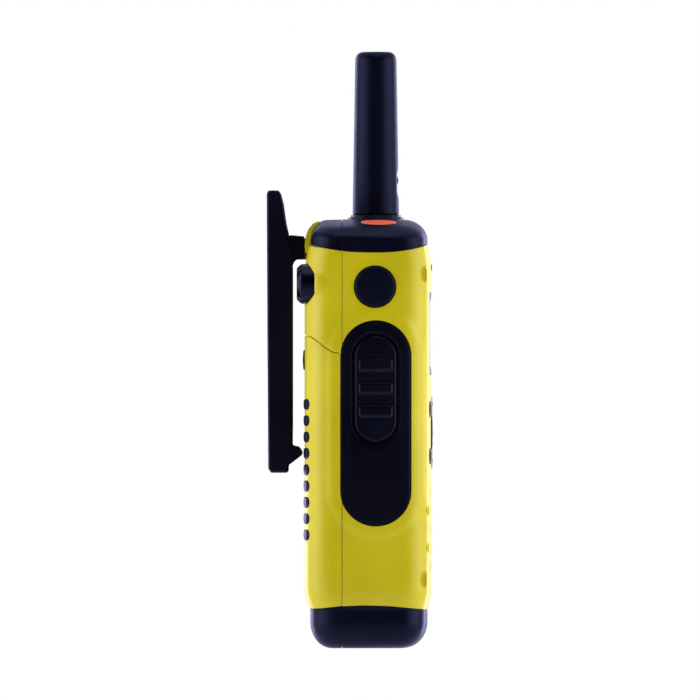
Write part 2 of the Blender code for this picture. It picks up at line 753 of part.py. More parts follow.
def side_pads():
    """The left pad has an opening for the talk button. The right one is plain."""
    whole = oval(PAD_Y, PAD_Z, PAD_HALF_DEPTH, PAD_HALF_HEIGHT)
    rim = oval(PAD_Y, PAD_Z, PAD_HALF_DEPTH - 0.5, PAD_HALF_HEIGHT - 0.5)
    opening = oval(TALK_Y, TALK_Z, TALK_HALF_DEPTH + 1.0, TALK_HALF_HEIGHT + 1.0)
    left = [on_side(-1, whole, 0.0, WALL), on_side(-1, whole, 0.0), on_side(-1, rim, 0.3)]
    left += [on_side(-1, opening, 0.3), on_side(-1, opening, 0.0, WALL)]
    place("ptt_surround", skin(left, closed=True), BLACK)
    right = [on_side(1, whole, 0.0, WALL), on_side(1, whole, 0.0), on_side(1, rim, 0.3)]
    place("right_grip_pad", skin(right), BLACK)


def talk_button():
    def ring(x, grow):
        return oval(TALK_Y, TALK_Z, TALK_HALF_DEPTH + grow, TALK_HALF_HEIGHT + grow), x

    layers = [ring(-30.6, -0.7), ring(-30.3, 0.0), ring(-27.3, 0.0), ring(-27.3, 2.0), ring(-26.5, 2.0)]
    origin = (-30.6, TALK_Y, TALK_Z)
    made = place("ptt_button", stacked("X", layers), BLACK, origin)
    for i in range(3):
        z = TALK_Z + (1 - i) * TALK_RIB_PITCH + 0.3
        bump = [(-30.2, z - 1.9), (-31.0, z - 1.1), (-31.3, z), (-31.0, z + 1.1), (-30.2, z + 1.9)]
        add(made, helper(f"talk_rib_{i + 1}", prism("Y", bump, TALK_Y - 5.4, TALK_Y + 5.4)))
    place("ptt_switch", box((-25.2, -5.4, 79.4), (-22.2, 0.0, 85.4)), BLACK)


def port():
    """A soft flap over the accessory sockets, hinged on its forward edge."""
    hinge = (30.15, PORT_Y - PORT_HALF_DEPTH, PORT_Z)
    layers = [(oval(PORT_Y, PORT_Z, PORT_HALF_DEPTH, PORT_HALF_HEIGHT), x) for x in (28.3, 29.9)]
    layers.append((oval(PORT_Y, PORT_Z, PORT_HALF_DEPTH - 0.4, PORT_HALF_HEIGHT - 0.4), 30.15))
    place("port_cover", stacked("X", layers), RUBBER, hinge)
    made = place("port_socket", box((24.0, -6.8, 107.5), (27.4, -0.2, 118.1)), BLACK)
    sizes = ((110.3, 1.3), (115.2, 1.8))
    jacks = [prism("X", circle(PORT_Y, z, radius, 12), 25.2, 29) for z, radius in sizes]
    cut(made, helper("jack_bores", joined(*jacks)))


# ---------------------------------------------------------------- front face


def display():
    frame = [(rounded(0, DISPLAY_Z, 19.8, 13.3, 2.2), -19.3)]
    frame.append((rounded(0, DISPLAY_Z, 19.3, 12.8, 1.8), -19.7))
    frame += [(rounded(0, DISPLAY_Z, 16.6, 10.4, 1.5), y) for y in (-19.7, -17.9)]
    frame.append((rounded(0, DISPLAY_Z, 19.8, 13.3, 2.2), -17.9))
    place("display_bezel", stacked("Y", frame, closed=True), BLACK)
    place("display_lens", prism("Y", rounded(0, DISPLAY_Z, 16.3, 10.1, 1.2), -19.5, -18.2), CLEAR)
    place("lcd_panel", box((-18.0, -17.5, 88.0), (18.0, -15.8, 112.0)), SCREEN)


def front_keys():
    ring = [(NAV_RADIUS, -19.6), (NAV_RADIUS - 0.7, -20.5), (6.0, -20.5), (5.3, -20.0), (5.3, -17.0)]
    ring += [(12.9, -17.0), (12.9, -17.6), (NAV_RADIUS, -17.6)]
    place("nav_ring", turned("Y", 0, NAV_Z, ring, 32), BLACK, (0, -17.2, NAV_Z))
    middle = [(0, -20.7), (SELECT_RADIUS - 0.6, -20.6), (SELECT_RADIUS, -20.1)]
    middle += [(SELECT_RADIUS, -16.8), (0, -16.8)]
    place("select_button", turned("Y", 0, NAV_Z, middle, 20), GREY, (0, -20.7, NAV_Z))
    for name, (x, z) in key_places().items():
        layers = [(key_outline(x, z, -0.4), -20.2), (key_outline(x, z), -19.9), (key_outline(x, z), -16.9)]
        place(name, stacked("Y", layers), GREY, (x, -20.2, z))
    place("keypad_mat", box((-20.4, -16.0, 53.2), (20.4, -15.0, 84.0)), SEAL)
    light = turned("Y", 0, LED_Z, [(LED_RADIUS, -20.0), (LED_RADIUS, -16.5)], 12)
    place("status_led", light, CLEAR)


def sound():
    cone = [(0, -15.2), (6.0, -15.2), (12.6, -16.4), (14.4, -16.9), (14.4, -15.6)]
    cone += [(9.0, -11.0), (8.0, -7.0), (0, -7.0)]
    place("speaker", turned("Y", 0, SPEAKER_Z, cone, 24), STEEL)
    place("speaker_cloth", prism("Y", circle(0, SPEAKER_Z, 15.3, 24), -17.45, -17.2), CLOTH)
    place("microphone", turned("Y", 0, MICROPHONE_Z, [(2.0, -17.3), (2.0, -15.4)], 12), STEEL)


# ---------------------------------------------------------------- insides


def electronics():
    place("main_board", box((-20.5, -6.0, 20.0), (20.5, -4.6, 123.0)), BOARD)
    place("rf_shield", box((-12.0, -4.3, 58.0), (14.0, -1.8, 96.0)), STEEL)
    lens = [(LIGHT_RADIUS - 0.4, 0.4), (LIGHT_RADIUS, 0.8), (LIGHT_RADIUS, 2.2)]
    place("flashlight_lens", turned("Z", 0, LIGHT_Y, lens), CLEAR)
    place("flashlight_board", box((-8.0, -11.0, 2.8), (8.0, -1.0, 4.2)), BOARD)


def battery_tray():
    """The bulkhead across the casing, with the open box that holds the cells."""
    made = place("battery_tray", box((-26.4, BULKHEAD_Y, 14.3), (26.4, BULKHEAD_Y + 1.3, 124.6)), BLACK)
    half = TRAY_HALF_WIDTH
    add(made, helper("cell_box", box((-half, BULKHEAD_Y, TRAY_FOOT), (half, 12.8, TRAY_HEAD))))
    inside = box((-half + 1.3, BULKHEAD_Y + 1.3, TRAY_FOOT + 1.3), (half - 1.3, 15, TRAY_HEAD - 1.3))
    cut(made, helper("cell_space", inside))
    holes = [prism("Y", circle(x, z, 1.5, 8), -2, 4) for x, z in screw_places()]
    button_room = box((-28, -1, 106.4), (-25.4, 3, 123.4))
    cut(made, helper("bulkhead_openings", joined(*holes, button_room)))
    cut(made, helper("talk_room", box((-28, -1, 62.0), (-24.25, 3, 102.4))))
    for number, (x, z) in enumerate(screw_places(), 1):
        profile = [(0, -9.0), (1.15, -9.0), (1.15, 1.9), (2.2, 1.9), (2.2, 3.4), (0, 3.4)]
        place(f"case_screw_{number}", turned("Y", x, z, profile, 10), STEEL)
    rim = [(rounded(0, 47.75, 25.5, 32.3, 1.5), 8.8), (rounded(0, 47.75, 24.3, 31.2, 0.8), 8.8)]
    rim += [(rounded(0, 47.75, 24.3, 31.2, 0.8), 10.1), (rounded(0, 47.75, 25.5, 32.3, 1.5), 10.1)]
    place("compartment_seal", stacked("Y", rim, closed=True), SEAL)


def battery_cells():
    top = CELL_FOOT + CELL_LENGTH
    for number in range(3):
        x = (number - 1) * CELL_PITCH
        profile = [(0, CELL_FOOT), (CELL_RADIUS, CELL_FOOT), (CELL_RADIUS, top), (2.75, top)]
        profile += [(2.75, top + 1), (0, top + 1)]
        place(f"battery_cell_{number + 1}", turned("Z", x, CELL_Y, profile, 20), CELL)
    for word, plate, low, high in (("lower", 18.7, 18.9, 21.2), ("upper", 75.6, 73.4, 75.9)):
        made = place(f"contact_plate_{word}", box((-21.5, 3.0, plate), (21.5, 12.0, plate + 0.6)), BRASS)
        studs = [prism("Z", circle(i * CELL_PITCH, CELL_Y, 2.4, 10), low, high) for i in (-1, 0, 1)]
        add(made, helper(f"contact_studs_{word}", joined(*studs)))


PAD_OPENINGS = helper("pad_openings", pad_holes())

front_housing()
rear_housing()
top_bumpers()
bottom_bumpers()
battery_door()
grip_insert()
thumb_pad()
door_locks()
clip_bracket()
clip_lever()
clip_pin()
clip_spring()
antenna()
alert_button()
side_button()
side_pads()
talk_button()
port()
display()
front_keys()
sound()
electronics()
battery_tray()
battery_cells()
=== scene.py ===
"""The looks of a rugged handheld two way radio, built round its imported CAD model.

Sizes are in millimetres and become metres where a mesh is made. +Z is up, the display faces -Y, the talk
button is on -X and the belt clip is behind, at +Y. Each piece stands for a CAD node and rides on its body.
"""

import math

import bmesh
import bpy
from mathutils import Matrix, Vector


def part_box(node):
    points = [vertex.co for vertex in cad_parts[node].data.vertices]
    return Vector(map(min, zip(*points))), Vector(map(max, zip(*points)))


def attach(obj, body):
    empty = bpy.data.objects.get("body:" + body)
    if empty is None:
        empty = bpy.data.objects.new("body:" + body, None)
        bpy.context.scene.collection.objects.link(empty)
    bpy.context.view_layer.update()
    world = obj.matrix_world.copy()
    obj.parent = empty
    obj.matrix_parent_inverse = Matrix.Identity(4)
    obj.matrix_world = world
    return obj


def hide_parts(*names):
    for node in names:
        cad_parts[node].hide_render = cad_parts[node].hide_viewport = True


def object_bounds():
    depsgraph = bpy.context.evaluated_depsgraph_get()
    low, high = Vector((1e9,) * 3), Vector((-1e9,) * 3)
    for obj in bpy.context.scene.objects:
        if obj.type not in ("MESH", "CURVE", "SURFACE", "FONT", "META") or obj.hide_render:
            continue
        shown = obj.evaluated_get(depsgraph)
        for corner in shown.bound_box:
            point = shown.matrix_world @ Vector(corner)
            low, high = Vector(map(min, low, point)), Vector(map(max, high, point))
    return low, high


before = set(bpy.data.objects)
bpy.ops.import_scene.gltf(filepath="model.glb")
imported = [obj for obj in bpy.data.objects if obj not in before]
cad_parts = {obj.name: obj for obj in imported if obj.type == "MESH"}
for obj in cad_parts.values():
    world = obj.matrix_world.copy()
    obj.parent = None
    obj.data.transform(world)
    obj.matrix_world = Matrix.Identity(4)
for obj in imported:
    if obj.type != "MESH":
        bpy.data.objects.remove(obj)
cad_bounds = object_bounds()

MM = 0.001
GAP = 0.3  # air between neighbouring pieces

# Casing cross-section: half sizes, the outward bow of each side, and the corner radii
HALF_WIDTH = 30.0
HALF_DEPTH = 20.2
SIDE_BOW = 0.8
FRONT_BOW = 1.6
REAR_BOW = 0.7
FRONT_CORNER = 7.5
REAR_CORNER = 8.0
WALL = 2.0
SEAM_Y = 8.25

# Edges between the yellow casing, the bumpers and the battery door
TOP_EDGE_MIDDLE = 125.9
TOP_EDGE_END = 128.0
BOTTOM_EDGE_MIDDLE = 13.65
BOTTOM_EDGE_END = 12.3
DOOR_EDGE_SIDE = 93.8
DOOR_EDGE_REAR = 99.5

# Bumpers
BODY_TOP = 136.5
TOP_SHOULDER = 129.8
BOTTOM_SHOULDER = 8.4
CROWN_RADIUS = 118.0
FRONT_CROWN = 400.0
REAR_CROWN = 340.0
TOP_REACHES = (7.2, 5.2)
BOTTOM_REACHES = (7.4, 6.4)
BUMPER_WALL = 2.4

# Antenna and buttons
ANTENNA_X = 15.0
ANTENNA_Y = -2.5
ANTENNA_TIP = 190.0
ANTENNA_FOOT = 138.0
ANTENNA_FOOT_RADIUS = 7.42
ANTENNA_TIP_RADIUS = 6.56
RECESS_Z = 148.0
ALERT_X = -15.0
ALERT_Y = -3.4
ALERT_RADIUS = 5.7
SIDE_BUTTON_Y = -2.2
SIDE_BUTTON_Z = 114.9
SIDE_BUTTON_RADIUS = 6.45
PAD_Y = -2.45
PAD_Z = 71.5
PAD_HALF_DEPTH = 11.17
PAD_HALF_HEIGHT = 32.6
TALK_Y = -2.4
TALK_Z = 82.4
TALK_HALF_DEPTH = 6.65
TALK_HALF_HEIGHT = 16.85
TALK_RIB_PITCH = 7.3
PORT_Y = -3.5
PORT_Z = 112.8
PORT_HALF_DEPTH = 4.6
PORT_HALF_HEIGHT = 7.5

# Front face
DISPLAY_Z = 100.0
DISPLAY_HALF_WIDTH = 20.1
DISPLAY_HALF_HEIGHT = 13.6
NAV_Z = 68.5
NAV_RADIUS = 11.9
SELECT_RADIUS = 4.9
KEY_X = 17.5
KEY_HALF_WIDTH = 3.8
KEY_HALF_HEIGHT = 2.4
UPPER_KEY_Z = 76.0
LOWER_KEY_Z = 61.0
SPEAKER_Z = 37.8
SPEAKER_HOLE_RADIUS = 1.45
SPEAKER_COLUMN_PITCH = 5.85
SPEAKER_ROW_PITCH = 11.9
LED_Z = 121.0
LED_RADIUS = 1.3
MICROPHONE_Z = 18.3
DIMPLE_Y = -19.27
DIMPLE_FLOOR = 24.4
DIMPLE_RADIUS = 3.05
DIMPLE_ROWS = (21.9, 119.0)

# Rear grip, latches and clip
RIB_PITCH = 5.19
RIB_COUNT = 9
LOWEST_RIB_Z = 36.0
RIB_HALF_HEIGHT = 1.65
RIB_HALF_WIDTH = 25.0
SHEET_HALF_WIDTH = 26.8
THUMB_Z = 91.6
KNOB_X = 21.5
KNOB_Z = 115.8
KNOB_RADIUS = 6.3
PIVOT_Y = 26.6
PIVOT_Z = 127.0
CLIP_HALF_WIDTH = 9.6
CLIP_FLANGE = 1.8
BLOCK_HALF_WIDTH = 7.4

# side outline of the clip's boss on the rear casing, as (y, z, corner radius)
BOSS = [(15.4, 125.5, 0), (19.9, 125.5, 0.8), (20.2, 128.2, 3.0), (19.9, 130.8, 3.0), (19.1, 133.2, 3.0)]
BOSS += [(17.5, 135.1, 1.5), (15.9, 135.75, 0.3), (15.4, 135.6, 0)]

# Edges and seams
EDGE_RADIUS = 0.22
SEAM_GAP = 0.16
SEAM_RADIUS = 0.08
SHARP_ANGLE = 38  # degrees between two faces, above which their edge is shaded as a sharp one

# The soft raised landing round each side pad
LANDING_RISE = 0.65
LANDING_FLAT = 2.3
LANDING_REACH = 4.9

# Steps on the round corners and long sides of an outline
FILLET_STEPS = 4
CORNER_STEPS = 10
OVAL_STEPS = 32
FACE_STEPS = 52

# Floor, camera and lights: a light is its name, its place in metres, its size in metres and its watts
FLOOR_DROP = 101.0
CAMERA_DISTANCE = 8000.0
FRAME_WIDTH = 222.25
AIM_Y = 5.75
AIM_Z = 94.8
LIGHTS = (
    ("front_softbox", (-0.10, -0.34, 0.14), (0.30, 0.40), 1.22),
    ("rear_softbox", (-0.10, 0.34, 0.14), (0.30, 0.40), 1.22),
    ("top_softbox", (-0.15, -0.05, 0.70), (0.4, 0.4), 0.9),
    ("front_rim", (0.31, -0.23, 0.10), (0.12, 0.40), 0.75),
    ("rear_rim", (0.31, 0.23, 0.10), (0.12, 0.40), 0.75),
)


# --- materials


LOOK = "_look"  # ends the name of each material that stands in for the material slot of the same name


class Nodes:
    """A material or a world under construction, whose nodes are filled as they are added."""

    def __init__(self, made, shader):
        made.use_nodes = True
        self.made = made
        self.tree = made.node_tree
        self.shader = self.tree.nodes[shader]
        self.places = self.add("ShaderNodeTexCoord").outputs

    def feed(self, node, inputs):
        """Fills a node's inputs, each from a value or from another node's output."""
        for socket, source in inputs.items():
            if isinstance(source, bpy.types.NodeSocket):
                self.tree.links.new(source, node.inputs[socket])
            else:
                node.inputs[socket].default_value = source

    def add(self, kind, inputs=None, **settings):
        node = self.tree.nodes.new(kind)
        for key, value in settings.items():
            setattr(node, key, value)
        self.feed(node, inputs or {})
        return node

    def shade(self, **inputs):
        """Fills the shader's own inputs, whose names are written here with _ for a space."""
        self.feed(self.shader, {name.replace("_", " "): source for name, source in inputs.items()})

    def noise(self, per_metre, detail=2.0, stretch=(1, 1, 1)):
        """Noise of a fineness, optionally drawn out along an axis."""
        place = self.add("ShaderNodeMapping", {"Vector": self.places["Object"], "Scale": stretch})
        inputs = {"Vector": place.outputs["Vector"], "Scale": per_metre, "Detail": detail}
        return self.add("ShaderNodeTexNoise", inputs).outputs["Fac"]

    def remap(self, value, low, high, start=0.0, end=1.0):
        inputs = {"Value": value, "From Min": start, "From Max": end, "To Min": low, "To Max": high}
        return self.add("ShaderNodeMapRange", inputs).outputs["Result"]

    def maths(self, operation, first, second):
        return self.add("ShaderNodeMath", {0: first, 1: second}, operation=operation).outputs[0]

    def mixed(self, share, first, second):
        """A colour between two colours."""
        return self.add("ShaderNodeMix", {0: share, 6: first, 7: second}, data_type="RGBA").outputs[2]

    def edge_softness(self, radius_mm):
        """Normals that round off every hard edge."""
        return self.add("ShaderNodeBevel", {"Radius": radius_mm * MM}, samples=4).outputs["Normal"]

    def bump(self, height, strength, distance_mm, **inputs):
        inputs |= {"Height": height, "Strength": strength, "Distance": distance_mm * MM}
        return self.add("ShaderNodeBump", inputs).outputs["Normal"]


def surface(name):
    return Nodes(bpy.data.materials.new(name + LOOK), "Principled BSDF")


def rgba(red, green, blue):
    return (red, green, blue, 1.0)


def worn_colour(nodes, colour, share=0.08):
    """A moulded colour, a little cloudy, with a dulled bloom where hands rub it."""
    cloud = nodes.remap(nodes.noise(38, 3.0), 0.0, 1.0, 0.35, 0.68)
    darker = (c * (1 - share) for c in colour)
    lighter = (min(1.0, c * (1 + share * 0.6) + 0.002) for c in colour)
    return nodes.mixed(cloud, rgba(*darker), rgba(*lighter))


def moulded(name, colour, roughness, grain_mm, grain, soften, tint=(1, 1, 1), level=0.5, sheen=0.0):
    """Injection moulded plastic or rubber: cloudy colour, sparked grain, smears and faint scratches."""
    nodes = surface(name)
    smears = nodes.noise(55, 4.0, (1, 1, 0.35))
    scratches = nodes.remap(nodes.noise(420, 1.0, (1, 1, 0.05)), 0.0, 0.07, 0.66, 0.72)
    uneven = nodes.remap(smears, roughness - 0.06, roughness + 0.08, 0.3, 0.7)
    sparks = nodes.noise(1000 / grain_mm, 2.0)
    nodes.shade(
        Base_Color=worn_colour(nodes, colour),
        Roughness=nodes.maths("ADD", uneven, scratches),
        Normal=nodes.bump(sparks, grain, 0.03, Normal=nodes.edge_softness(soften)),
        IOR=1.5,
        Specular_IOR_Level=level,
        Specular_Tint=rgba(*tint),
        Metallic=sheen,
    )
    return nodes.made


def metal(name, colour, roughness):
    """Drawn or turned metal with fine lines and a little tarnish."""
    nodes = surface(name)
    lines = nodes.noise(2600)
    nodes.shade(
        Base_Color=worn_colour(nodes, colour, 0.14),
        Roughness=nodes.remap(lines, roughness - 0.08, roughness + 0.12, 0.3, 0.7),
        Normal=nodes.bump(lines, 0.25, 0.02, Normal=nodes.edge_softness(0.12)),
        Metallic=1.0,
    )
    return nodes.made


def clear(name, colour):
    """Clear moulded window plastic with a trace of haze."""
    nodes = surface(name)
    haze = nodes.remap(nodes.noise(60, 3.0), 0.03, 0.06, 0.4, 0.7)
    nodes.shade(Base_Color=rgba(*colour), Roughness=haze, Normal=nodes.edge_softness(0.15))
    nodes.shade(IOR=1.49, Transmission_Weight=1.0)
    return nodes.made


def circuit_board(name):
    """Green solder mask with darker tracks under it."""
    nodes = surface(name)
    facing = {"Vector": nodes.places["Object"], "Rotation": (math.pi / 2, 0, 0)}
    layout = {
        "Vector": nodes.add("ShaderNodeMapping", facing).outputs["Vector"],
        "Scale": 240.0,
        "Mortar Size": 0.012,
        "Color1": rgba(0.012, 0.10, 0.045),
        "Color2": rgba(0.016, 0.125, 0.05),
        "Mortar": rgba(0.03, 0.19, 0.07),
    }
    tracks = nodes.add("ShaderNodeTexBrick", layout, offset=0.37, squash=1.6, squash_frequency=3)
    raised = nodes.bump(tracks.outputs["Fac"], 0.3, 0.03)
    nodes.shade(Base_Color=tracks.outputs["Color"], Normal=raised, Roughness=0.35)
    return nodes.made


def speaker_mesh(name):
    """Fine woven cloth."""
    nodes = surface(name)
    layout = {"Vector": nodes.places["Object"], "Scale": 620.0}
    waves = [nodes.add("ShaderNodeTexWave", layout, bands_direction=axis) for axis in ("X", "Z")]
    weave = nodes.maths("MULTIPLY", *(wave.outputs["Fac"] for wave in waves))
    threads = nodes.mixed(weave, rgba(0.006, 0.006, 0.007), rgba(0.035, 0.035, 0.04))
    nodes.shade(Base_Color=threads, Normal=nodes.bump(weave, 0.6, 0.08), Roughness=0.9)
    return nodes.made


def cell_wrap(name):
    """The printed film on a battery cell: a dark body and a copper coloured band at its head."""
    nodes = surface(name)
    height = nodes.add("ShaderNodeSeparateXYZ", {"Vector": nodes.places["Object"]}).outputs["Z"]
    low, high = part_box("battery_cell_1")
    split = low[2] + 0.7 * (high[2] - low[2])
    band = nodes.remap(height, 0.0, 1.0, split, split + 0.0002)
    film = nodes.mixed(band, rgba(0.012, 0.013, 0.018), rgba(0.52, 0.20, 0.07))
    end = nodes.remap(height, 0.0, 1.0, high[2] - 0.0013, high[2] - 0.0012)
    wrinkles = nodes.bump(nodes.noise(300, 3.0), 0.15, 0.05, Normal=nodes.edge_softness(0.3))
    nodes.shade(Base_Color=nodes.mixed(end, film, rgba(0.62, 0.62, 0.64)), Metallic=end)
    nodes.shade(Normal=wrinkles, Roughness=0.3, Coat_Weight=0.4)
    return nodes.made


BLUISH = (0.42, 0.43, 1.0)
YELLOW = moulded("yellow_casing", (0.53, 0.445, 0.002), 0.36, 0.5, 0.08, 0.12, level=0.3)
RUBBER = moulded("bumper_rubber", (0.0018, 0.0022, 0.009), 0.38, 0.28, 0.3, 0.15, BLUISH, 0.25, sheen=0.45)
BLACK = moulded("black_plastic", (0.0009, 0.0011, 0.0045), 0.27, 0.3, 0.2, 0.15, BLUISH, 0.34, sheen=0.35)
ORANGE = moulded("alert_orange", (0.80, 0.105, 0.045), 0.42, 0.3, 0.2, 0.3)
GREY = moulded("key_grey", (0.085, 0.085, 0.11), 0.4, 0.3, 0.2, 0.2)
# SEAL is dark rubber, used only for the strips that paint the shade in the seams
SEAL = moulded("seal_rubber", (0.03, 0.03, 0.034), 0.7, 0.25, 0.4, 0.2)
CLEAR = clear("clear_window", (0.95, 0.97, 0.98))
SCREEN = moulded("display_grey", (0.20, 0.26, 0.16), 0.3, 0.6, 0.01, 0.1)
STEEL = metal("bright_steel", (0.60, 0.60, 0.62), 0.3)
BRASS = metal("brass", (0.75, 0.55, 0.22), 0.32)
BOARD = circuit_board("board_green")
CLOTH = speaker_mesh("speaker_cloth")
CELL = cell_wrap("cell_wrap")
FINISHES = (YELLOW, RUBBER, BLACK, ORANGE, GREY, SEAL, CLEAR, SCREEN, STEEL, BRASS, BOARD, CLOTH, CELL)
BY_SLOT = {made.name.removesuffix(LOOK): made for made in FINISHES}


# --- meshes


def mesh_of(points, faces):
    made = bmesh.new()
    verts = [made.verts.new(Vector(point) * MM) for point in points]
    for face in faces:
        corners = list(dict.fromkeys(verts[i] for i in face))
        if len(corners) > 2:
            made.faces.new(corners)
    bmesh.ops.recalc_face_normals(made, faces=made.faces)
    return made


def loft(rings, closed=False):
    """A closed mesh through rings of one length, capped unless the last ring meets the first."""
    count = len(rings[0])
    points = [point for ring in rings for point in ring]
    pairs = list(zip(range(len(rings)), range(1, len(rings))))
    if closed:
        pairs.append((len(rings) - 1, 0))
    faces = []
    for low, high in pairs:
        for i in range(count):
            j = (i + 1) % count
            faces.append((low * count + i, low * count + j, high * count + j, high * count + i))
    if not closed:
        faces.append(range(count))
        faces.append(range(count * (len(rings) - 1), count * len(rings)))
    return mesh_of(points, faces)


def at(axis, u, v, along):
    """The point (u, v) of an outline drawn across an axis, at a distance along it."""
    return {"X": (along, u, v), "Y": (u, along, v), "Z": (u, v, along)}[axis]


def filleted(corners):
    """An outline whose corners, given as (u, v, radius), are rounded by arcs."""
    outline = []
    count = len(corners)
    for i, (u, v, radius) in enumerate(corners):
        here = Vector((u, v))
        if radius <= 0:
            outline.append((u, v))
            continue
        before = Vector(corners[i - 1][:2]) - here
        after = Vector(corners[(i + 1) % count][:2]) - here
        half = before.angle(after) / 2
        reach = min(radius / math.tan(half), before.length * 0.49, after.length * 0.49)
        start = here + before.normalized() * reach
        end = here + after.normalized() * reach
        for step in range(FILLET_STEPS + 1):
            t = step / FILLET_STEPS
            outline.append(tuple(start * (1 - t) ** 2 + here * 2 * t * (1 - t) + end * t**2))
    return outline


def rounded(u, v, half_u, half_v, radius):
    """A rectangle with round corners, or a slot where the radius reaches its sides."""
    outline = []
    for quarter, (su, sv) in enumerate(((1, 1), (-1, 1), (-1, -1), (1, -1))):
        cu = u + su * (half_u - radius)
        cv = v + sv * (half_v - radius)
        for step in range(CORNER_STEPS + 1):
            angle = math.pi / 2 * (quarter + step / CORNER_STEPS)
            outline.append((cu + radius * math.cos(angle), cv + radius * math.sin(angle)))
    return outline


def oval(u, v, radius, half_height, along=24):
    """A round-ended upright slot, with points along its straight sides too."""
    flat = half_height - radius
    outline = []
    for side, start in ((1, 0), (-1, 180)):
        for i in range(along):
            outline.append((u + side * radius, v + side * (2 * flat * (i + 0.5) / along - flat)))
        for a in arc(start, start + 180, OVAL_STEPS):
            outline.append((u + radius * math.cos(a), v + side * flat + radius * math.sin(a)))
    return outline


def arc(start, end, steps):
    return [math.radians(start + (end - start) * i / steps) for i in range(steps + 1)]


def circle(u, v, radius, steps=48):
    return [(u + radius * math.cos(a), v + radius * math.sin(a)) for a in arc(0, 360, steps)[:-1]]


def stack(axis, layers, closed=False):
    """A mesh through layers, each an outline drawn across an axis and its distance along it."""
    return loft([[at(axis, u, v, along) for u, v in outline] for outline, along in layers], closed)


def prism(axis, outline, start, end):
    return stack(axis, [(outline, start), (outline, end)])


def shrunk(corners, inset):
    """An outline's corners, given as (u, v, radius), with every side moved inwards by an inset."""
    before = corners[-1:] + corners[:-1]
    after = corners[1:] + corners[:1]
    area = sum(u * v1 - u1 * v for (u, v, _), (u1, v1, _) in zip(corners, after))
    drawn = []
    for (u0, v0, _), (u, v, radius), (u1, v1, _) in zip(before, corners, after):
        first = Vector((v0 - v, u - u0)).normalized()
        second = Vector((v - v1, u1 - u)).normalized()
        move = (first + second) * math.copysign(inset, area) / (1 + first.dot(second))
        drawn.append((u + move.x, v + move.y, radius))
    return drawn


def soft_prism(axis, corners, half_length, radius):
    """A prism of a filleted outline, centred across its axis, with rounded edges at both ends."""
    steps = [(half_length - radius * (1 - math.sin(a)), radius * (1 - math.cos(a))) for a in arc(0, 80, 5)]
    steps.append((steps[-1][0], steps[-1][1] + 0.06))
    stations = [(-along, inset) for along, inset in reversed(steps)] + steps
    return stack(axis, [(filleted(shrunk(corners, inset)), along) for along, inset in stations])


def box(low, high):
    (x0, y0, z0), (x1, y1, z1) = low, high
    return prism("Z", [(x0, y0), (x1, y0), (x1, y1), (x0, y1)], z0, z1)


def turned(axis, u, v, profile, steps=64, shape=None):
    """A piece turned about an axis through (u, v). The profile is (radius, along) from end to end."""
    rings = []
    for radius, along in profile:
        ring = []
        for angle in arc(0, 360, steps)[:-1]:
            reach = max(radius, 0.001)
            if shape:
                reach += shape(angle, along)
            ring.append(at(axis, u + reach * math.cos(angle), v + reach * math.sin(angle), along))
        rings.append(ring)
    return loft(rings)


def joined(pieces):
    """Several separate closed meshes in one."""
    whole = bmesh.new()
    for shape in pieces:
        spare = bpy.data.meshes.new("spare")
        shape.to_mesh(spare)
        whole.from_mesh(spare)
        bpy.data.meshes.remove(spare)
        shape.free()
    return whole


def sliced(shape, y, keep_front):
    """The part of a solid in front of (or behind) a plane across Y, with the cut closed."""
    bmesh.ops.bisect_plane(
        shape,
        geom=shape.verts[:] + shape.edges[:] + shape.faces[:],
        plane_co=(0, y * MM, 0),
        plane_no=(0, 1, 0),
        clear_outer=keep_front,
        clear_inner=not keep_front,
    )
    bmesh.ops.holes_fill(shape, edges=[edge for edge in shape.edges if edge.is_boundary])
    bmesh.ops.recalc_face_normals(shape, faces=shape.faces)
    return shape


def object_of(name, shape):
    mesh = bpy.data.meshes.new(name)
    shape.to_mesh(mesh)
    shape.free()
    made = bpy.data.objects.new(name, mesh)
    bpy.context.scene.collection.objects.link(made)
    return made


def settle(made):
    """Replaces an object's mesh by the result of its modifiers."""
    result = bpy.data.meshes.new_from_object(made.evaluated_get(bpy.context.evaluated_depsgraph_get()))
    made.modifiers.clear()
    spare = made.data
    made.data = result
    bpy.data.meshes.remove(spare)


def combine(made, tool_shape, operation):
    tool = object_of("tool", tool_shape)
    step = made.modifiers.new("combine", "BOOLEAN")
    step.operation = operation
    step.object = tool
    step.solver = "MANIFOLD"
    settle(made)
    bpy.data.objects.remove(tool)


def cut(made, *tool_shapes):
    for shape in tool_shapes:
        combine(made, shape, "DIFFERENCE")


def add(made, *tool_shapes):
    for shape in tool_shapes:
        combine(made, shape, "UNION")


def ease(made, width):
    """Rounds the edges where two faces meet at an angle."""
    step = made.modifiers.new("ease", "BEVEL")
    step.width = width * MM
    step.segments = 3
    step.limit_method = "ANGLE"
    step.angle_limit = math.radians(35)
    step.use_clamp_overlap = True
    settle(made)


def dress(made, finish, body, *nodes):
    """Gives a piece its finish, its body and the CAD nodes it stands for."""
    made.data.materials.clear()
    made.data.materials.append(finish)
    made.data.shade_smooth()
    made.data.set_sharp_from_angle(angle=math.radians(SHARP_ANGLE))
    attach(made, body)
    if nodes:
        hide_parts(*nodes)


def piece(name, shape, finish, body, *nodes):
    dress(object_of(name, shape), finish, body, *nodes)


def round_box(node):
    """The middle, radius, foot and top of an upright round CAD node."""
    (x0, y0, z0), (x1, y1, z1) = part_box(node)
    return (x0 + x1) / 2 / MM, (y0 + y1) / 2 / MM, (x1 - x0) / 2 / MM, z0 / MM, z1 / MM


# --- the casing's outer form


def ramp(value, start, end):
    """0 at start, 1 at end, with level ends."""
    t = min(1.0, max(0.0, (value - start) / (end - start)))
    return t * t * (3 - 2 * t)


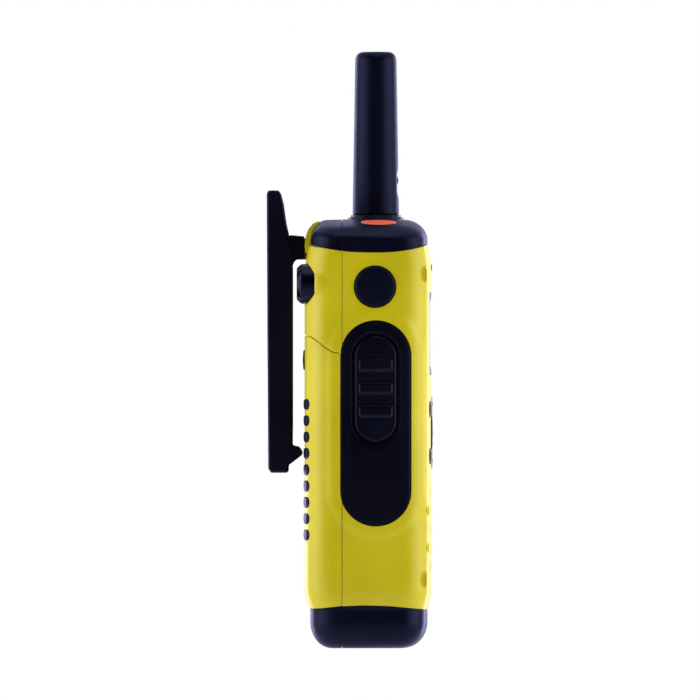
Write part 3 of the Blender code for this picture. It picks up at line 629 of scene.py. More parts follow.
def narrowing(z):
    """How far the casing has drawn in towards its two ends: 0 in the middle, 1 at an end."""
    above = max(0.0, (z - 118.0) / 11.0)
    below = max(0.0, (19.5 - z) / 7.0)
    return min(1.0, max(above, below)) ** 2


def top_edge(y):
    away = abs(y - PAD_Y) / (16.4 if y < PAD_Y else 20.8)
    return TOP_EDGE_MIDDLE + (TOP_EDGE_END - TOP_EDGE_MIDDLE) * min(1.1, away) ** 2.4


def bottom_edge(y):
    away = min(1.0, abs(y) / 18.5)
    return BOTTOM_EDGE_MIDDLE + (BOTTOM_EDGE_END - BOTTOM_EDGE_MIDDLE) * away**2


def door_edge(y):
    return DOOR_EDGE_SIDE + (DOOR_EDGE_REAR - DOOR_EDGE_SIDE) * ramp(y, 9.5, 20.5)


def half_sizes(drawn, inset=0.0):
    half_x = HALF_WIDTH - SIDE_BOW - 1.4 * drawn - inset
    front = HALF_DEPTH - FRONT_BOW - 1.25 * drawn - inset
    rear = HALF_DEPTH - REAR_BOW - 1.8 * drawn - inset
    return half_x, front, rear


def half_path(towards, start_y, drawn=0.0, inset=0.0):
    """The casing's outline from its right side round the front (or rear) to its left side."""
    half_x, front, rear = half_sizes(drawn, inset)
    depth, bow, corner = (front, FRONT_BOW, FRONT_CORNER)
    if towards > 0:
        depth, bow, corner = (rear, REAR_BOW, REAR_CORNER)
    side_steps = max(4, int(abs(towards * (HALF_DEPTH - bow - corner) - start_y) / 0.9))
    corner -= min(inset, corner - 1.0)
    cx = half_x - corner
    cy = towards * (depth - corner)
    right = [(half_x, start_y + (cy - start_y) * i / side_steps) for i in range(side_steps)]
    right += [(cx + corner * math.cos(a), cy + towards * corner * math.sin(a)) for a in arc(0, 90, 16)]
    face = [(cx - 2 * cx * i / FACE_STEPS, towards * depth) for i in range(1, FACE_STEPS)]
    left = [(-x, y) for x, y in reversed(right)]
    bowed = []
    for x, y in right + face + left:
        wide = x + x / half_x * SIDE_BOW * (1 - (y / (depth + bow)) ** 2)
        deep = y + y / depth * bow * (1 - (x / (half_x + SIDE_BOW)) ** 2) if towards * y > 0 else y
        bowed.append((wide, deep))
    return bowed


def whole_path(drawn=0.0, inset=0.0):
    """The casing's whole outline, anticlockwise from the middle of its right side."""
    rear = half_path(1, 0.0, drawn, inset)
    front = half_path(-1, 0.0, drawn, inset)
    return rear + front[::-1][1:-1]


def oval_distance(y, z):
    """How far a point on the side lies outside the pad's outline."""
    flat = PAD_HALF_HEIGHT - PAD_HALF_DEPTH
    beyond = max(0.0, abs(z - PAD_Z) - flat)
    return math.hypot(y - PAD_Y, beyond) - PAD_HALF_DEPTH


def landing(y, z):
    """Height of the soft raised landing round a side pad."""
    return LANDING_RISE * (1 - ramp(oval_distance(y, z), LANDING_FLAT, LANDING_REACH))


def outward(path):
    """The outward direction at each point of an open path that runs clockwise or not."""
    found = []
    for i in range(len(path)):
        (x0, y0), (x1, y1) = path[max(0, i - 1)], path[min(len(path) - 1, i + 1)]
        normal = Vector((y1 - y0, x0 - x1)).normalized()
        x, y = path[i]
        found.append(normal if normal.dot(Vector((x, y * 1.2))) > 0 else -normal)
    return found


def edge_turn(start, end, radius=EDGE_RADIUS):
    """Steps round a small outer edge, as pairs of distance from the edge and inset."""
    return [(radius * (1 - math.sin(a)), radius * (1 - math.cos(a))) for a in arc(start, end, 4)]


def casing_half(towards, low_edge, high_edge):
    """One half of the casing wall, with every outer edge rounded."""
    start_y = SEAM_Y + towards * SEAM_GAP / 2
    plain = half_path(towards, start_y)
    drawn_in = half_path(towards, start_y, 1.0)
    normals = outward(plain)
    last = len(plain) - 1
    stations = [(0, *step) for step in edge_turn(90, 0, SEAM_RADIUS)]
    stations += [(i, 0.0, 0.0) for i in range(1, last)]
    stations += [(last, *step) for step in edge_turn(0, 90, SEAM_RADIUS)]
    middle_levels = int(high_edge(0) - low_edge(0))
    rings = []
    for i, shift, seam_inset in stations:
        x0, y0 = plain[i]
        low, high = low_edge(y0), high_edge(y0)
        levels = [(low + step, inset) for step, inset in edge_turn(90, 0)]
        span = high - low - 2 * EDGE_RADIUS
        levels += [(low + EDGE_RADIUS + span * k / middle_levels, 0.0) for k in range(1, middle_levels)]
        levels += [(high - step, inset) for step, inset in edge_turn(0, 90)]
        outer = []
        inner = []
        for z, edge_inset in levels:
            drawn = narrowing(z)
            x = x0 + (drawn_in[i][0] - x0) * drawn
            y = y0 + (drawn_in[i][1] - y0) * drawn + towards * shift
            rise = landing(y0, z) - max(seam_inset, edge_inset)
            outer.append((x + normals[i].x * rise, y + normals[i].y * rise * (i not in (0, last)), z))
            inner.append((x - normals[i].x * WALL, y - normals[i].y * WALL * (i not in (0, last)), z))
        rings.append(outer + inner[::-1])
    return loft(rings)


# --- casings and bumpers


def seam_outline(inset):
    """The right half of the body's outline where front and rear halves meet, drawn in by an inset."""

    def side(z):
        half_x = half_sizes(narrowing(z), inset)[0]
        return half_x + SIDE_BOW * (1 - (SEAM_Y / HALF_DEPTH) ** 2)

    def end(shoulder, foot, reach, crown):
        points = []
        for angle in arc(0, 90, 12):
            x = side(shoulder) - reach * (1 - math.cos(angle))
            rise = (foot - shoulder) * math.sin(angle)
            points.append((x, shoulder + rise - crown * math.sin(angle) * x * x / (2 * CROWN_RADIUS)))
        flat = [points[-1][0] * share for share in (0.75, 0.5, 0.25, 0.0)]
        return points + [(x, foot - crown * x**2 / (2 * CROWN_RADIUS)) for x in flat]

    top = end(TOP_SHOULDER, BODY_TOP - inset - 0.15, TOP_REACHES[1], 1.0)
    bottom = end(BOTTOM_SHOULDER, inset, BOTTOM_REACHES[1], 0.0)
    middle = [(side(z), z) for z in range(12, 128, 4)]
    return bottom[::-1] + middle + top


def seam_gasket():
    """A dark band inside the seam round the whole body, a strip behind the door's upper edge and thin
    bands at the bumpers' edges: dark sheets that paint the shade seen in those gaps.
    """
    rings = []
    back, front = SEAM_Y + SEAM_GAP / 2 - 0.006, SEAM_Y - SEAM_GAP / 2 + 0.006
    for inset, y in ((0.5, front), (1.5, front), (1.5, back), (0.5, back)):
        right = [(x, y, z) for x, z in seam_outline(inset)]
        left = [(-x, y, z) for x, y, z in right[-2:0:-1]]
        rings.append(right + left)
    pieces = [loft(rings, closed=True)]
    outer, inner = (half_path(1, 9.0, inset=WALL + more) for more in (0.1, 0.8))
    pieces.append(upright_band(outer, inner, door_edge, -1.3, 1.5))
    pieces += [edge_shade_strip(top_edge, -1), edge_shade_strip(top_edge, 1), edge_shade_strip(bottom_edge, -1)]
    # dark strips that stand in for the shade inside the seams and in the door's upper gap
    piece("seam_gasket", joined(pieces), SEAL, "radio_body")
    piece("door_gasket", edge_shade_strip(bottom_edge, 1), SEAL, "battery_door")


def upright_band(outer, inner, edge, below, above):
    """A strip between two paths, from a little below to a little above an edge of the casing."""
    rings = []
    for (x0, y0), (x1, y1) in zip(outer, inner):
        low, high = edge(y0) + below, edge(y0) + above
        rings.append([(x0, y0, low), (x0, y0, high), (x1, y1, high), (x1, y1, low)])
    return loft(rings)


def edge_shade_strip(edge, towards):
    """Half of a thin dark band between the casing and a bumper, painted shade in the gap there."""
    start_y = SEAM_Y + towards * SEAM_GAP
    drawn = narrowing(edge(PAD_Y))
    outer, inner = (half_path(towards, start_y, drawn, inset) for inset in (0.5, 1.4))
    reach = GAP / 2 - 0.01
    return upright_band(outer, inner, edge, -reach, reach)


def speaker_spots():
    """Staggered columns of small round holes inside an oval field."""
    found = []
    for column in range(-4, 5):
        for row in range(-3, 4):
            x = column * SPEAKER_COLUMN_PITCH
            z = SPEAKER_Z + row * SPEAKER_ROW_PITCH / 2
            if (column + row) % 2 and (x / 26.0) ** 2 + ((z - SPEAKER_Z) / 17.0) ** 2 < 1.0:
                found.append((x, z))
    return found


def key_places():
    return {
        "menu_key": (-KEY_X, UPPER_KEY_Z),
        "call_key": (KEY_X, UPPER_KEY_Z),
        "power_key": (-KEY_X, LOWER_KEY_Z),
        "scan_key": (KEY_X, LOWER_KEY_Z),
    }


def key_outline(x, z, grow=0.0):
    return rounded(x, z, KEY_HALF_WIDTH + grow, KEY_HALF_HEIGHT + grow, KEY_HALF_HEIGHT + grow)


def front_surface(x):
    """How far forward the casing's bowed front reaches, off its corners."""
    return HALF_DEPTH - FRONT_BOW * (x / HALF_WIDTH) ** 2


def front_openings():
    outlines = [rounded(0, DISPLAY_Z, DISPLAY_HALF_WIDTH, DISPLAY_HALF_HEIGHT, 2.5)]
    outlines.append(circle(0, NAV_Z, NAV_RADIUS + GAP, 96))
    outlines += [key_outline(x, z, GAP) for x, z in key_places().values()]
    outlines += [circle(0, LED_Z, LED_RADIUS + 0.15, 24), circle(0, MICROPHONE_Z, 0.6, 16)]
    pieces = [prism("Y", outline, -24, -14) for outline in outlines]
    radius = SPEAKER_HOLE_RADIUS
    for x, z in speaker_spots():
        face = -front_surface(x)
        hole = [(0, -24), (2.15, -24), (2.15, face - 0.1), (2.0, face + 0.05), (radius, face + 0.5)]
        pieces.append(turned("Y", x, z, hole + [(radius, -14), (0, -14)], 32))
    return joined(pieces)


def dimples():
    """Bowls sunk from the sides into the four front corners, open towards the front."""
    bowl = [(0.0, 0.0), (0.5, 0.06), (0.8, 0.25), (0.93, 0.48), (0.985, 0.75), (1.0, 1.2)]
    profile = [(share * DIMPLE_RADIUS, DIMPLE_FLOOR + rise) for share, rise in bowl]
    profile += [(DIMPLE_RADIUS, 34), (0, 34)]
    pieces = []
    for side in (-1, 1):
        sunk = [(reach, side * along) for reach, along in profile]
        pieces += [turned("X", DIMPLE_Y, z, sunk, 48) for z in DIMPLE_ROWS]
    return joined(pieces)


def pad_openings():
    opening = oval(PAD_Y, PAD_Z, PAD_HALF_DEPTH + 0.15, PAD_HALF_HEIGHT + 0.15)
    return joined([prism("X", opening, -36, -24), prism("X", opening, 24, 36)])


def side_openings():
    port = oval(PORT_Y, PORT_Z, PORT_HALF_DEPTH + GAP, PORT_HALF_HEIGHT + GAP)
    button = circle(SIDE_BUTTON_Y, SIDE_BUTTON_Z, SIDE_BUTTON_RADIUS + GAP, 72)
    return joined([prism("X", button, -36, -24), prism("X", port, 24, 36)])


def front_casing():
    shape = casing_half(-1, bottom_edge, lambda y: top_edge(y) - GAP / 2)
    made = object_of("casing_front", shape)
    cut(made, front_openings(), dimples(), pad_openings(), side_openings())
    dress(made, YELLOW, "radio_body", "front_housing")


def rear_casing():
    """The fixed rear casing, with the clip's boss and T-shaped rail."""
    shape = casing_half(1, lambda y: door_edge(y) + SEAM_GAP, lambda y: top_edge(y) - GAP / 2)
    made = object_of("casing_rear", shape)
    add(made, prism("X", filleted(BOSS), -9.0, 9.0))
    rim = [(0, 12.5), (8.1, 12.5), (8.1, 14.2), (7.85, 15.2), (7.5, 16.1), (7.2, 16.7), (6.9, 17.0)]
    rim.append((0, 17.0))
    for x in (-KNOB_X, KNOB_X):
        add(made, turned("Y", x, KNOB_Z, rim, 72))
    add(made, box((-2.8, 19.0, 123.6), (2.8, 22.4, 130.4)), box((-4.6, 21.9, 123.6), (4.6, 23.4, 130.4)))
    wells = [prism("Y", circle(x, KNOB_Z, KNOB_RADIUS + GAP, 72), 14.8, 26) for x in (-KNOB_X, KNOB_X)]
    cut(made, joined(wells), pad_openings())
    dress(made, YELLOW, "radio_body", "rear_housing")


def rib_heights():
    return [LOWEST_RIB_Z + i * RIB_PITCH for i in range(RIB_COUNT)]


def battery_door():
    """The sliding rear door, with its hooks, its slots for the grip ribs and its thumb recess."""
    shape = casing_half(1, lambda y: bottom_edge(y) + SEAM_GAP, lambda y: door_edge(y) - SEAM_GAP / 2)
    made = object_of("door_shell", shape)
    for side in (-1, 1):
        outline = [(26.6, 87.0), (26.6, 118.6), (24.2, 118.6), (24.2, 117.4), (25.4, 117.4), (25.4, 87.0)]
        near, far = sorted((side * 25.4, side * 28.8))
        add(made, prism("Y", [(side * x, z) for x, z in outline], 12.3, 13.9))
        add(made, box((near, 12.3, 86.0), (far, 13.9, 92.0)))
    half = RIB_HALF_HEIGHT + 0.1
    slots = [rounded(0, z, RIB_HALF_WIDTH + 0.3, half, half - 0.2) for z in rib_heights()]
    slots = [prism("Y", slot, 12.0, 24.0) for slot in slots]
    thumb = prism("Y", rounded(0, THUMB_Z, 8.2, 3.4, 3.4), 19.0, 24.0)
    cut(made, joined(slots), thumb, pad_openings())
    dress(made, YELLOW, "battery_door", "battery_door")


def crown_drop(x, y):
    """How far the top bumper's crowned end has fallen from its highest point."""
    behind = REAR_CROWN if y > 0 else FRONT_CROWN
    return x * x / (2 * CROWN_RADIUS) + y * y / (2 * behind)


def shoulder_rings(inset, shoulder, foot, crown, reaches):
    """Rings that turn from the bumper's side onto its flat or crowned end."""
    rise = foot - shoulder
    rings = []
    for angle in arc(0, 90, 16):
        z = shoulder + rise * math.sin(angle)
        turn = 1 - math.cos(angle)
        front, rear = (whole_path(narrowing(shoulder), inset + reach * turn) for reach in reaches)
        path = []
        for (xf, yf), (xr, yr) in zip(front, rear):
            share = ramp(yf, -9.0, 9.0)
            path.append((xf + (xr - xf) * share, yf + (yr - yf) * share))
        rings.append([(x, y, z - crown * math.sin(angle) * crown_drop(x, y)) for x, y in path])
    rim = rings[-1]
    for share in (0.94, 0.86, 0.76, 0.65, 0.53, 0.41, 0.3, 0.18, 0.02):
        inner = [(x * share, y * share) for x, y, _ in rim]
        rings.append([(x, y, foot - crown * crown_drop(x, y)) for x, y in inner])
    return rings


def side_rings(edge, shoulder, inset):
    """Rings of the bumper's side, from its curved edge to its level shoulder."""
    plain = whole_path(0.0, inset)
    tight = whole_path(1.0, inset)
    rings = []
    levels = 7
    for k in range(levels):
        ring = []
        for (x, y), (xt, yt) in zip(plain, tight):
            z = edge(y) + (shoulder - edge(y)) * k / levels
            drawn = narrowing(z)
            ring.append((x + (xt - x) * drawn, y + (yt - y) * drawn, z))
        rings.append(ring)
    return rings


def bumper(edge, shoulder, foot, crown, reaches):
    outward_side = 1 if foot > shoulder else -1
    inner_foot = foot - outward_side * BUMPER_WALL
    outer = side_rings(edge, shoulder, 0.0) + shoulder_rings(0.0, shoulder, foot, crown, reaches)
    inner = side_rings(edge, shoulder, BUMPER_WALL)
    inner += shoulder_rings(BUMPER_WALL, shoulder, inner_foot, crown, reaches)
    return loft(inner[::-1] + outer)


def bumper_halves(word, form):
    """The front and rear halves of a bumper, parted along the casing's seam."""
    front = sliced(bumper(*form), SEAM_Y - SEAM_GAP / 2, True)
    rear = sliced(bumper(*form), SEAM_Y + SEAM_GAP / 2, False)
    return object_of(f"{word}_front", front), object_of(f"{word}_rear", rear)


def top_bumpers():
    form = (lambda y: top_edge(y) + GAP / 2, TOP_SHOULDER, BODY_TOP, 1.0, TOP_REACHES)
    front, rear = bumper_halves("cap", form)
    flare = [(0, 131.6), (10.9, 131.6), (10.6, 134.9), (9.9, 135.5), (9.25, 136.0), (9.0, 136.3)]
    flare += [(8.8, 136.42), (0, 136.42)]
    add(front, turned("Z", ANTENNA_X, ANTENNA_Y, flare, 96))
    base = prism("Z", circle(ANTENNA_X, ANTENNA_Y, 4.8, 48), 125, 140)
    alert = prism("Z", circle(ALERT_X, ALERT_Y, ALERT_RADIUS + 0.2, 72), 125, 140)
    cut(front, joined([base, alert]))
    dress(front, RUBBER, "radio_body", "top_bumper_front")
    cut(rear, prism("X", filleted(BOSS), -9.15, 9.15))
    dress(rear, RUBBER, "radio_body", "top_bumper_rear")


def bottom_bumpers():
    form = (lambda y: bottom_edge(y) - GAP / 2, BOTTOM_SHOULDER, 0.0, 0.0, BOTTOM_REACHES)
    front, rear = bumper_halves("foot", form)
    _, lens_y, lens_radius, _, _ = round_box("flashlight_lens")
    cut(front, prism("Z", circle(0, lens_y, lens_radius + 0.2, 64), -3, 5))
    dress(front, RUBBER, "radio_body", "bottom_bumper_front")
    dress(rear, RUBBER, "battery_door", "bottom_bumper_rear")


# --- side pads and buttons


def side_surface(y):
    """How far out the casing's side reaches at a distance in front of or behind its middle."""
    bow, corner = (FRONT_BOW, FRONT_CORNER) if y < 0 else (REAR_BOW, REAR_CORNER)
    depth = HALF_DEPTH - bow
    beyond = max(0.0, abs(y) - (depth - corner))
    flat = HALF_WIDTH - SIDE_BOW - corner + math.sqrt(max(0.0, corner**2 - beyond**2))
    return flat + SIDE_BOW * (1 - (y / HALF_DEPTH) ** 2)


def rounding(inset, radius):
    """How far a rounded edge still lies below its face, at a distance in from the edge."""
    short = max(0.0, 1 - inset / radius)
    return radius * (1 - math.sqrt(1 - short**2))


def insets(reach, pitch):
    """Distances in from an edge: close together on its rounding, then even."""
    near = [0.0, 0.03, 0.09, 0.18, 0.3, 0.45, 0.62]
    count = int((reach - 0.8) / pitch)
    return near + [0.8 + (reach - 0.8) * i / count for i in range(count)] + [reach - 0.03]


def skirt(side, outline, root, spare):
    """The lower rings of a side piece: a flange that closes the air round it, below the casing's face."""
    rings = []
    for grow, depth in ((spare, root), (spare, 0.35), (0.0, 0.3)):
        rings.append([(side * (side_surface(y) - depth), y, z) for y, z in outline(-grow)])
    return rings


def side_cover(side, outline, reach, proud, root, pitch=0.32, spare=0.12):
    """A cover on the casing's side, from rings of an outline drawn in step by step."""
    rings = skirt(side, outline, root, spare)
    for inset in insets(reach, pitch):
        rings.append([(side * (side_surface(y) + proud(y, z, inset)), y, z) for y, z in outline(inset)])
    return loft(rings)


def pad_outline(inset):
    return oval(PAD_Y, PAD_Z, PAD_HALF_DEPTH - inset, PAD_HALF_HEIGHT - inset)


def talk_outline(inset, along=80):
    return oval(TALK_Y, TALK_Z, TALK_HALF_DEPTH - inset, TALK_HALF_HEIGHT - inset, along=along)


def pad_height(inset):
    return LANDING_RISE - 0.12 - rounding(inset, 0.5) + 0.2 * ramp(inset, 0.0, 8.0)


def talk_surround():
    """The left pad, with an opening for the talk button and a soft dish round it."""
    rings = skirt(-1, pad_outline, WALL, 0.12)
    for inset in insets(2.2, 0.35):
        rings.append([(-(side_surface(y) + pad_height(inset)), y, z) for y, z in pad_outline(inset)])
    start = pad_outline(2.2)
    end = talk_outline(-1.15, along=24)
    for k in range(1, 13):
        t = k / 12
        ring = []
        for (y0, z0), (y1, z1) in zip(start, end):
            y, z = y0 + (y1 - y0) * t, z0 + (z1 - z0) * t
            sunk = 0.1 * ramp(t, 0.6, 1.0)
            ring.append((-(side_surface(y) + pad_height(2.2 + 3 * t) - sunk), y, z))
        rings.append(ring)
    for inset, sunk in ((-1.05, 0.14), (-0.95, 0.28), (-0.9, 0.5), (-0.9, 2.4)):
        height = pad_height(5.2) - sunk
        rings.append([(-(side_surface(y) + height), y, z) for y, z in talk_outline(inset, along=24)])
    piece("talk_pad", loft(rings, closed=True), BLACK, "radio_body", "ptt_surround")


def grip_pad():
    def height(y, z, inset):
        groove = 0.45 * ramp(inset, 2.5, 3.1) * (1 - ramp(inset, 3.5, 4.1))
        return pad_height(inset) - groove

    cover = side_cover(1, pad_outline, PAD_HALF_DEPTH, height, WALL)
    piece("grip_pad", cover, BLACK, "radio_body", "right_grip_pad")


def talk_button():
    """The long button: rounded edge, shallow crown and three pillow-shaped ribs."""

    def height(y, z, inset):
        rise = 0.75 - rounding(inset, 0.8) + 0.15 * ramp(inset, 0.5, TALK_HALF_DEPTH)
        for i in range(3):
            middle = TALK_Z + (1 - i) * TALK_RIB_PITCH + 0.3
            across = ramp(5.6 - abs(y - TALK_Y), 0.0, 0.9)
            along = ramp(2.1 - abs(z - middle), 0.0, 0.9)
            rise += 0.4 * across * along
        return rise

    cover = side_cover(-1, talk_outline, TALK_HALF_DEPTH, height, 2.7, pitch=0.26, spare=0.0)
    made = object_of("talk_key", cover)
    flange = rounded(TALK_Y, TALK_Z, TALK_HALF_DEPTH + 2.0, TALK_HALF_HEIGHT + 2.0, TALK_HALF_DEPTH + 2.0)
    add(made, prism("X", flange, -27.4, -26.5))
    dress(made, BLACK, "talk_button", "ptt_button")


def side_button():
    """A low domed round button with an eased rim."""
    radius = SIDE_BUTTON_RADIUS
    profile = [(0, -30.73)]
    for inset in (6.4, 4.5, 2.5, 1.2, 0.7, 0.4, 0.2, 0.08, 0.0):
        dome = 0.02 * inset if inset > 0.3 else 0.0
        profile.append((radius - inset, -30.6 + rounding(inset, 0.8) - dome))
    profile += [(radius, -27.3), (7.9, -27.3), (7.9, -26.5), (0, -26.5)]
    key = turned("X", SIDE_BUTTON_Y, SIDE_BUTTON_Z, profile, 96)
    piece("round_key", key, RUBBER, "side_button", "side_button")


def port_flap():
    """The soft cover of the accessory port, with a lifting lip along its rear edge."""

    def outline(inset):
        return oval(PORT_Y, PORT_Z, PORT_HALF_DEPTH - inset, PORT_HALF_HEIGHT - inset)

    def height(y, z, inset):
        ridge = 0.35 * ramp(0.5 - abs(y - PORT_Y - 2.4), 0.0, 0.4) * ramp(3.2 - abs(z - PORT_Z), 0.0, 0.7)
        return 0.2 - rounding(inset, 0.5) + ridge

    cover = side_cover(1, outline, PORT_HALF_DEPTH, height, 1.6, pitch=0.22, spare=0.2)
    piece("port_flap", cover, RUBBER, "port_cover", "port_cover")


def alert_button():
    """The orange button, whose top follows the crown of the cap."""
    rings = []
    for radius, z in ((0.001, 130.2), (6.7, 130.2), (6.7, 131.2), (ALERT_RADIUS, 131.2)):
        rings.append([(x, y, z) for x, y in circle(ALERT_X, ALERT_Y, radius, 96)])
    for inset in (0.0, 0.05, 0.15, 0.3, 0.45, 0.7, 1.2, 2.2, 3.4, 4.6, 5.69):
        radius = ALERT_RADIUS - inset
        lift = 0.1 - rounding(inset, 0.45) + 0.2 * ramp(inset, 0.3, ALERT_RADIUS)
        rim = circle(ALERT_X, ALERT_Y, radius, 96)
        rings.append([(x, y, BODY_TOP - crown_drop(x, y) + lift) for x, y in rim])
    piece("alert_key", loft(rings), ORANGE, "alert_button", "alert_button")


# --- antenna


def antenna():
    """A tapered sheath with a shallow oval recess in front and a small plain boss in it."""
    foot, tip = ANTENNA_FOOT, ANTENNA_TIP
    rows = int(tip - foot - 3) * 2
    slope = (ANTENNA_TIP_RADIUS - ANTENNA_FOOT_RADIUS) / (tip - foot)
    profile = [(0, 184.3), (2.2, 184.3), (2.2, foot), (ANTENNA_FOOT_RADIUS - 0.3, foot)]
    for k in range(rows + 1):
        z = foot + 0.3 + (tip - 3.0 - foot) * k / rows
        profile.append((ANTENNA_FOOT_RADIUS + slope * (z - foot), z))
    for a in arc(10, 90, 8):
        profile.append((ANTENNA_TIP_RADIUS - 2.6 * (1 - math.cos(a)), tip - 2.6 * (1 - math.sin(a))))
    profile.append((0, tip))

    def dished(angle, z):
        if z > tip - 4 or z < foot + 0.2:
            return 0.0
        off = abs((angle - 1.5 * math.pi + math.pi) % (2 * math.pi) - math.pi) * ANTENNA_FOOT_RADIUS
        across = math.hypot(off / 3.2, (z - RECESS_Z) / 5.0)
        boss = math.hypot(off, z - RECESS_Z - 1.0)
        return -0.45 * (1 - ramp(across, 0.78, 1.0)) + 0.4 * (1 - ramp(boss, 0.5, 1.5))

    sheath = turned("Z", ANTENNA_X, ANTENNA_Y, profile, 120, shape=dished)
    piece("antenna_cover", sheath, RUBBER, "radio_body", "antenna_sheath")
    collar = [(4.8, 136.5), (8.95, 136.5), (8.9, 136.8), (8.75, 137.0), (8.2, 137.15), (8.05, 137.3)]
    collar += [(8.0, 137.7), (7.85, 137.9), (7.3, 137.98), (4.8, 137.98)]
    layers = [(circle(ANTENNA_X, ANTENNA_Y, radius, 96), z) for radius, z in collar]
    piece("antenna_ring", stack("Z", layers, closed=True), BLACK, "radio_body", "antenna_collar")


# --- rear grip, latches and clip


def rear_surface(x):
    half_x = HALF_WIDTH - SIDE_BOW
    depth = HALF_DEPTH - REAR_BOW
    beyond = max(0.0, abs(x) - (half_x - REAR_CORNER))
    flat = depth - REAR_CORNER + math.sqrt(max(0.0, REAR_CORNER**2 - beyond**2))
    return flat + REAR_BOW * (1 - (x / HALF_WIDTH) ** 2)


def grip_ribs():
    """Nine soft ribs that stand a little proud of the door, on one sheet behind it."""
    pieces = []
    for z in rib_heights():
        root = rounded(0, z, RIB_HALF_WIDTH, RIB_HALF_HEIGHT, 1.5)
        rings = [[(x, rear_surface(x) - WALL - 0.5, v) for x, v in root]]
        for inset in (0.0, 0.05, 0.15, 0.3, 0.5, 0.8, 1.2, 1.6):
            radius = max(0.04, 1.5 - inset)
            outline = rounded(0, z, RIB_HALF_WIDTH - inset, RIB_HALF_HEIGHT - inset, radius)
            lift = 0.3 - rounding(inset, 0.5) + 0.1 * ramp(inset, 0.3, 1.6)
            rings.append([(x, rear_surface(x) + lift, v) for x, v in outline])
        pieces.append(loft(spread(rings)))
    sheet = []
    low, high = LOWEST_RIB_Z - 3.0, LOWEST_RIB_Z + (RIB_COUNT - 1) * RIB_PITCH + 3.0
    for x in [SHEET_HALF_WIDTH * (i - 20) / 20 for i in range(41)]:
        back, front = rear_surface(x) - WALL - 1.4, rear_surface(x) - WALL - 0.4
        sheet.append([(x, back, low), (x, front, low), (x, front, high), (x, back, high)])
    piece("grip_ribs", joined(pieces + [loft(sheet)]), RUBBER, "battery_door", "door_grip_insert")


def spread(rings):
    """The same rings with points added along their long sides, laid on the door's curved back."""
    count = int(2 * RIB_HALF_WIDTH / 0.9)
    corner = CORNER_STEPS + 1
    fuller = []
    for ring in rings:
        depth = [y - rear_surface(x) for x, y, _ in ring]
        row = []
        for i, (x, _, z) in enumerate(ring):
            row.append((x, rear_surface(x) + depth[i], z))
            x1, _, z1 = ring[(i + 1) % len(ring)]
            if i % corner == corner - 1 and abs(rings[0][i][0] - rings[0][(i + 1) % len(ring)][0]) > 5:
                for k in range(1, count):
                    t = k / count
                    between = x + (x1 - x) * t
                    row.append((between, rear_surface(between) + depth[i], z + (z1 - z) * t))
        fuller.append(row)
    return fuller


def thumb_pad():
    layers = [(rounded(0, THUMB_Z, 8.0, 3.2, 3.2), 19.3)]
    for inset in (0.0, 0.05, 0.15, 0.3, 0.5, 0.9, 1.5, 2.2, 3.1):
        outline = rounded(0, THUMB_Z, 8.0 - inset, 3.2 - inset, 3.2 - inset)
        layers.append((outline, 20.65 - rounding(inset, 0.5) + 0.15 * ramp(inset, 0.3, 3.0)))
    piece("thumb_rest", stack("Y", layers), RUBBER, "battery_door", "door_thumb_pad")


def lock_knobs():
    """Round knobs with a faceted rim and a finger bar across the face."""
    for side, word in ((-1, "left"), (1, "right")):
        x = side * KNOB_X
        profile = [(0, 12.3), (1.9, 12.3), (1.9, 15.5), (KNOB_RADIUS, 15.5), (KNOB_RADIUS, 20.9)]
        profile += [(6.2, 21.3), (5.2, 22.5), (4.95, 22.66), (4.7, 22.7), (0, 22.7)]
        made = object_of(f"latch_{word}", turned("Y", x, KNOB_Z, profile, 64))
        for across in (-3.75, 3.75):
            cut(made, prism("Y", rounded(x + across, KNOB_Z, 1.35, 4.4, 1.3), 21.2, 24))
        ease(made, 0.22)
        dress(made, BLACK, f"lock_{word}", f"lock_knob_{word}")


def clip_bracket():
    """The block that slides over the casing's rail, with two ears for the lever's pin."""
    profile = [(20.3, 123.7, 0.3), (23.3, 123.7, 2.2), (24.2, 121.0, 0.4), (27.0, 123.0, 2.0)]
    profile += [(28.9, 127.0, 2.6), (27.6, 129.9, 2.0), (24.6, 131.4, 1.2), (20.3, 131.0, 0.3)]
    made = object_of("clip_block", soft_prism("X", profile, BLOCK_HALF_WIDTH, 0.3))
    rail = (box((-3.1, 19.0, 121.0), (3.1, 22.2, 130.8)), box((-4.9, 21.6, 121.0), (4.9, 23.7, 130.8)))
    between_ears = box((-4.7, 24.3, 120), (4.7, 30, 135))
    cut(made, *rail, between_ears, prism("X", circle(PIVOT_Y, PIVOT_Z, 1.4, 32), -12, 12))
    dress(made, BLACK, "clip_bracket", "clip_bracket")


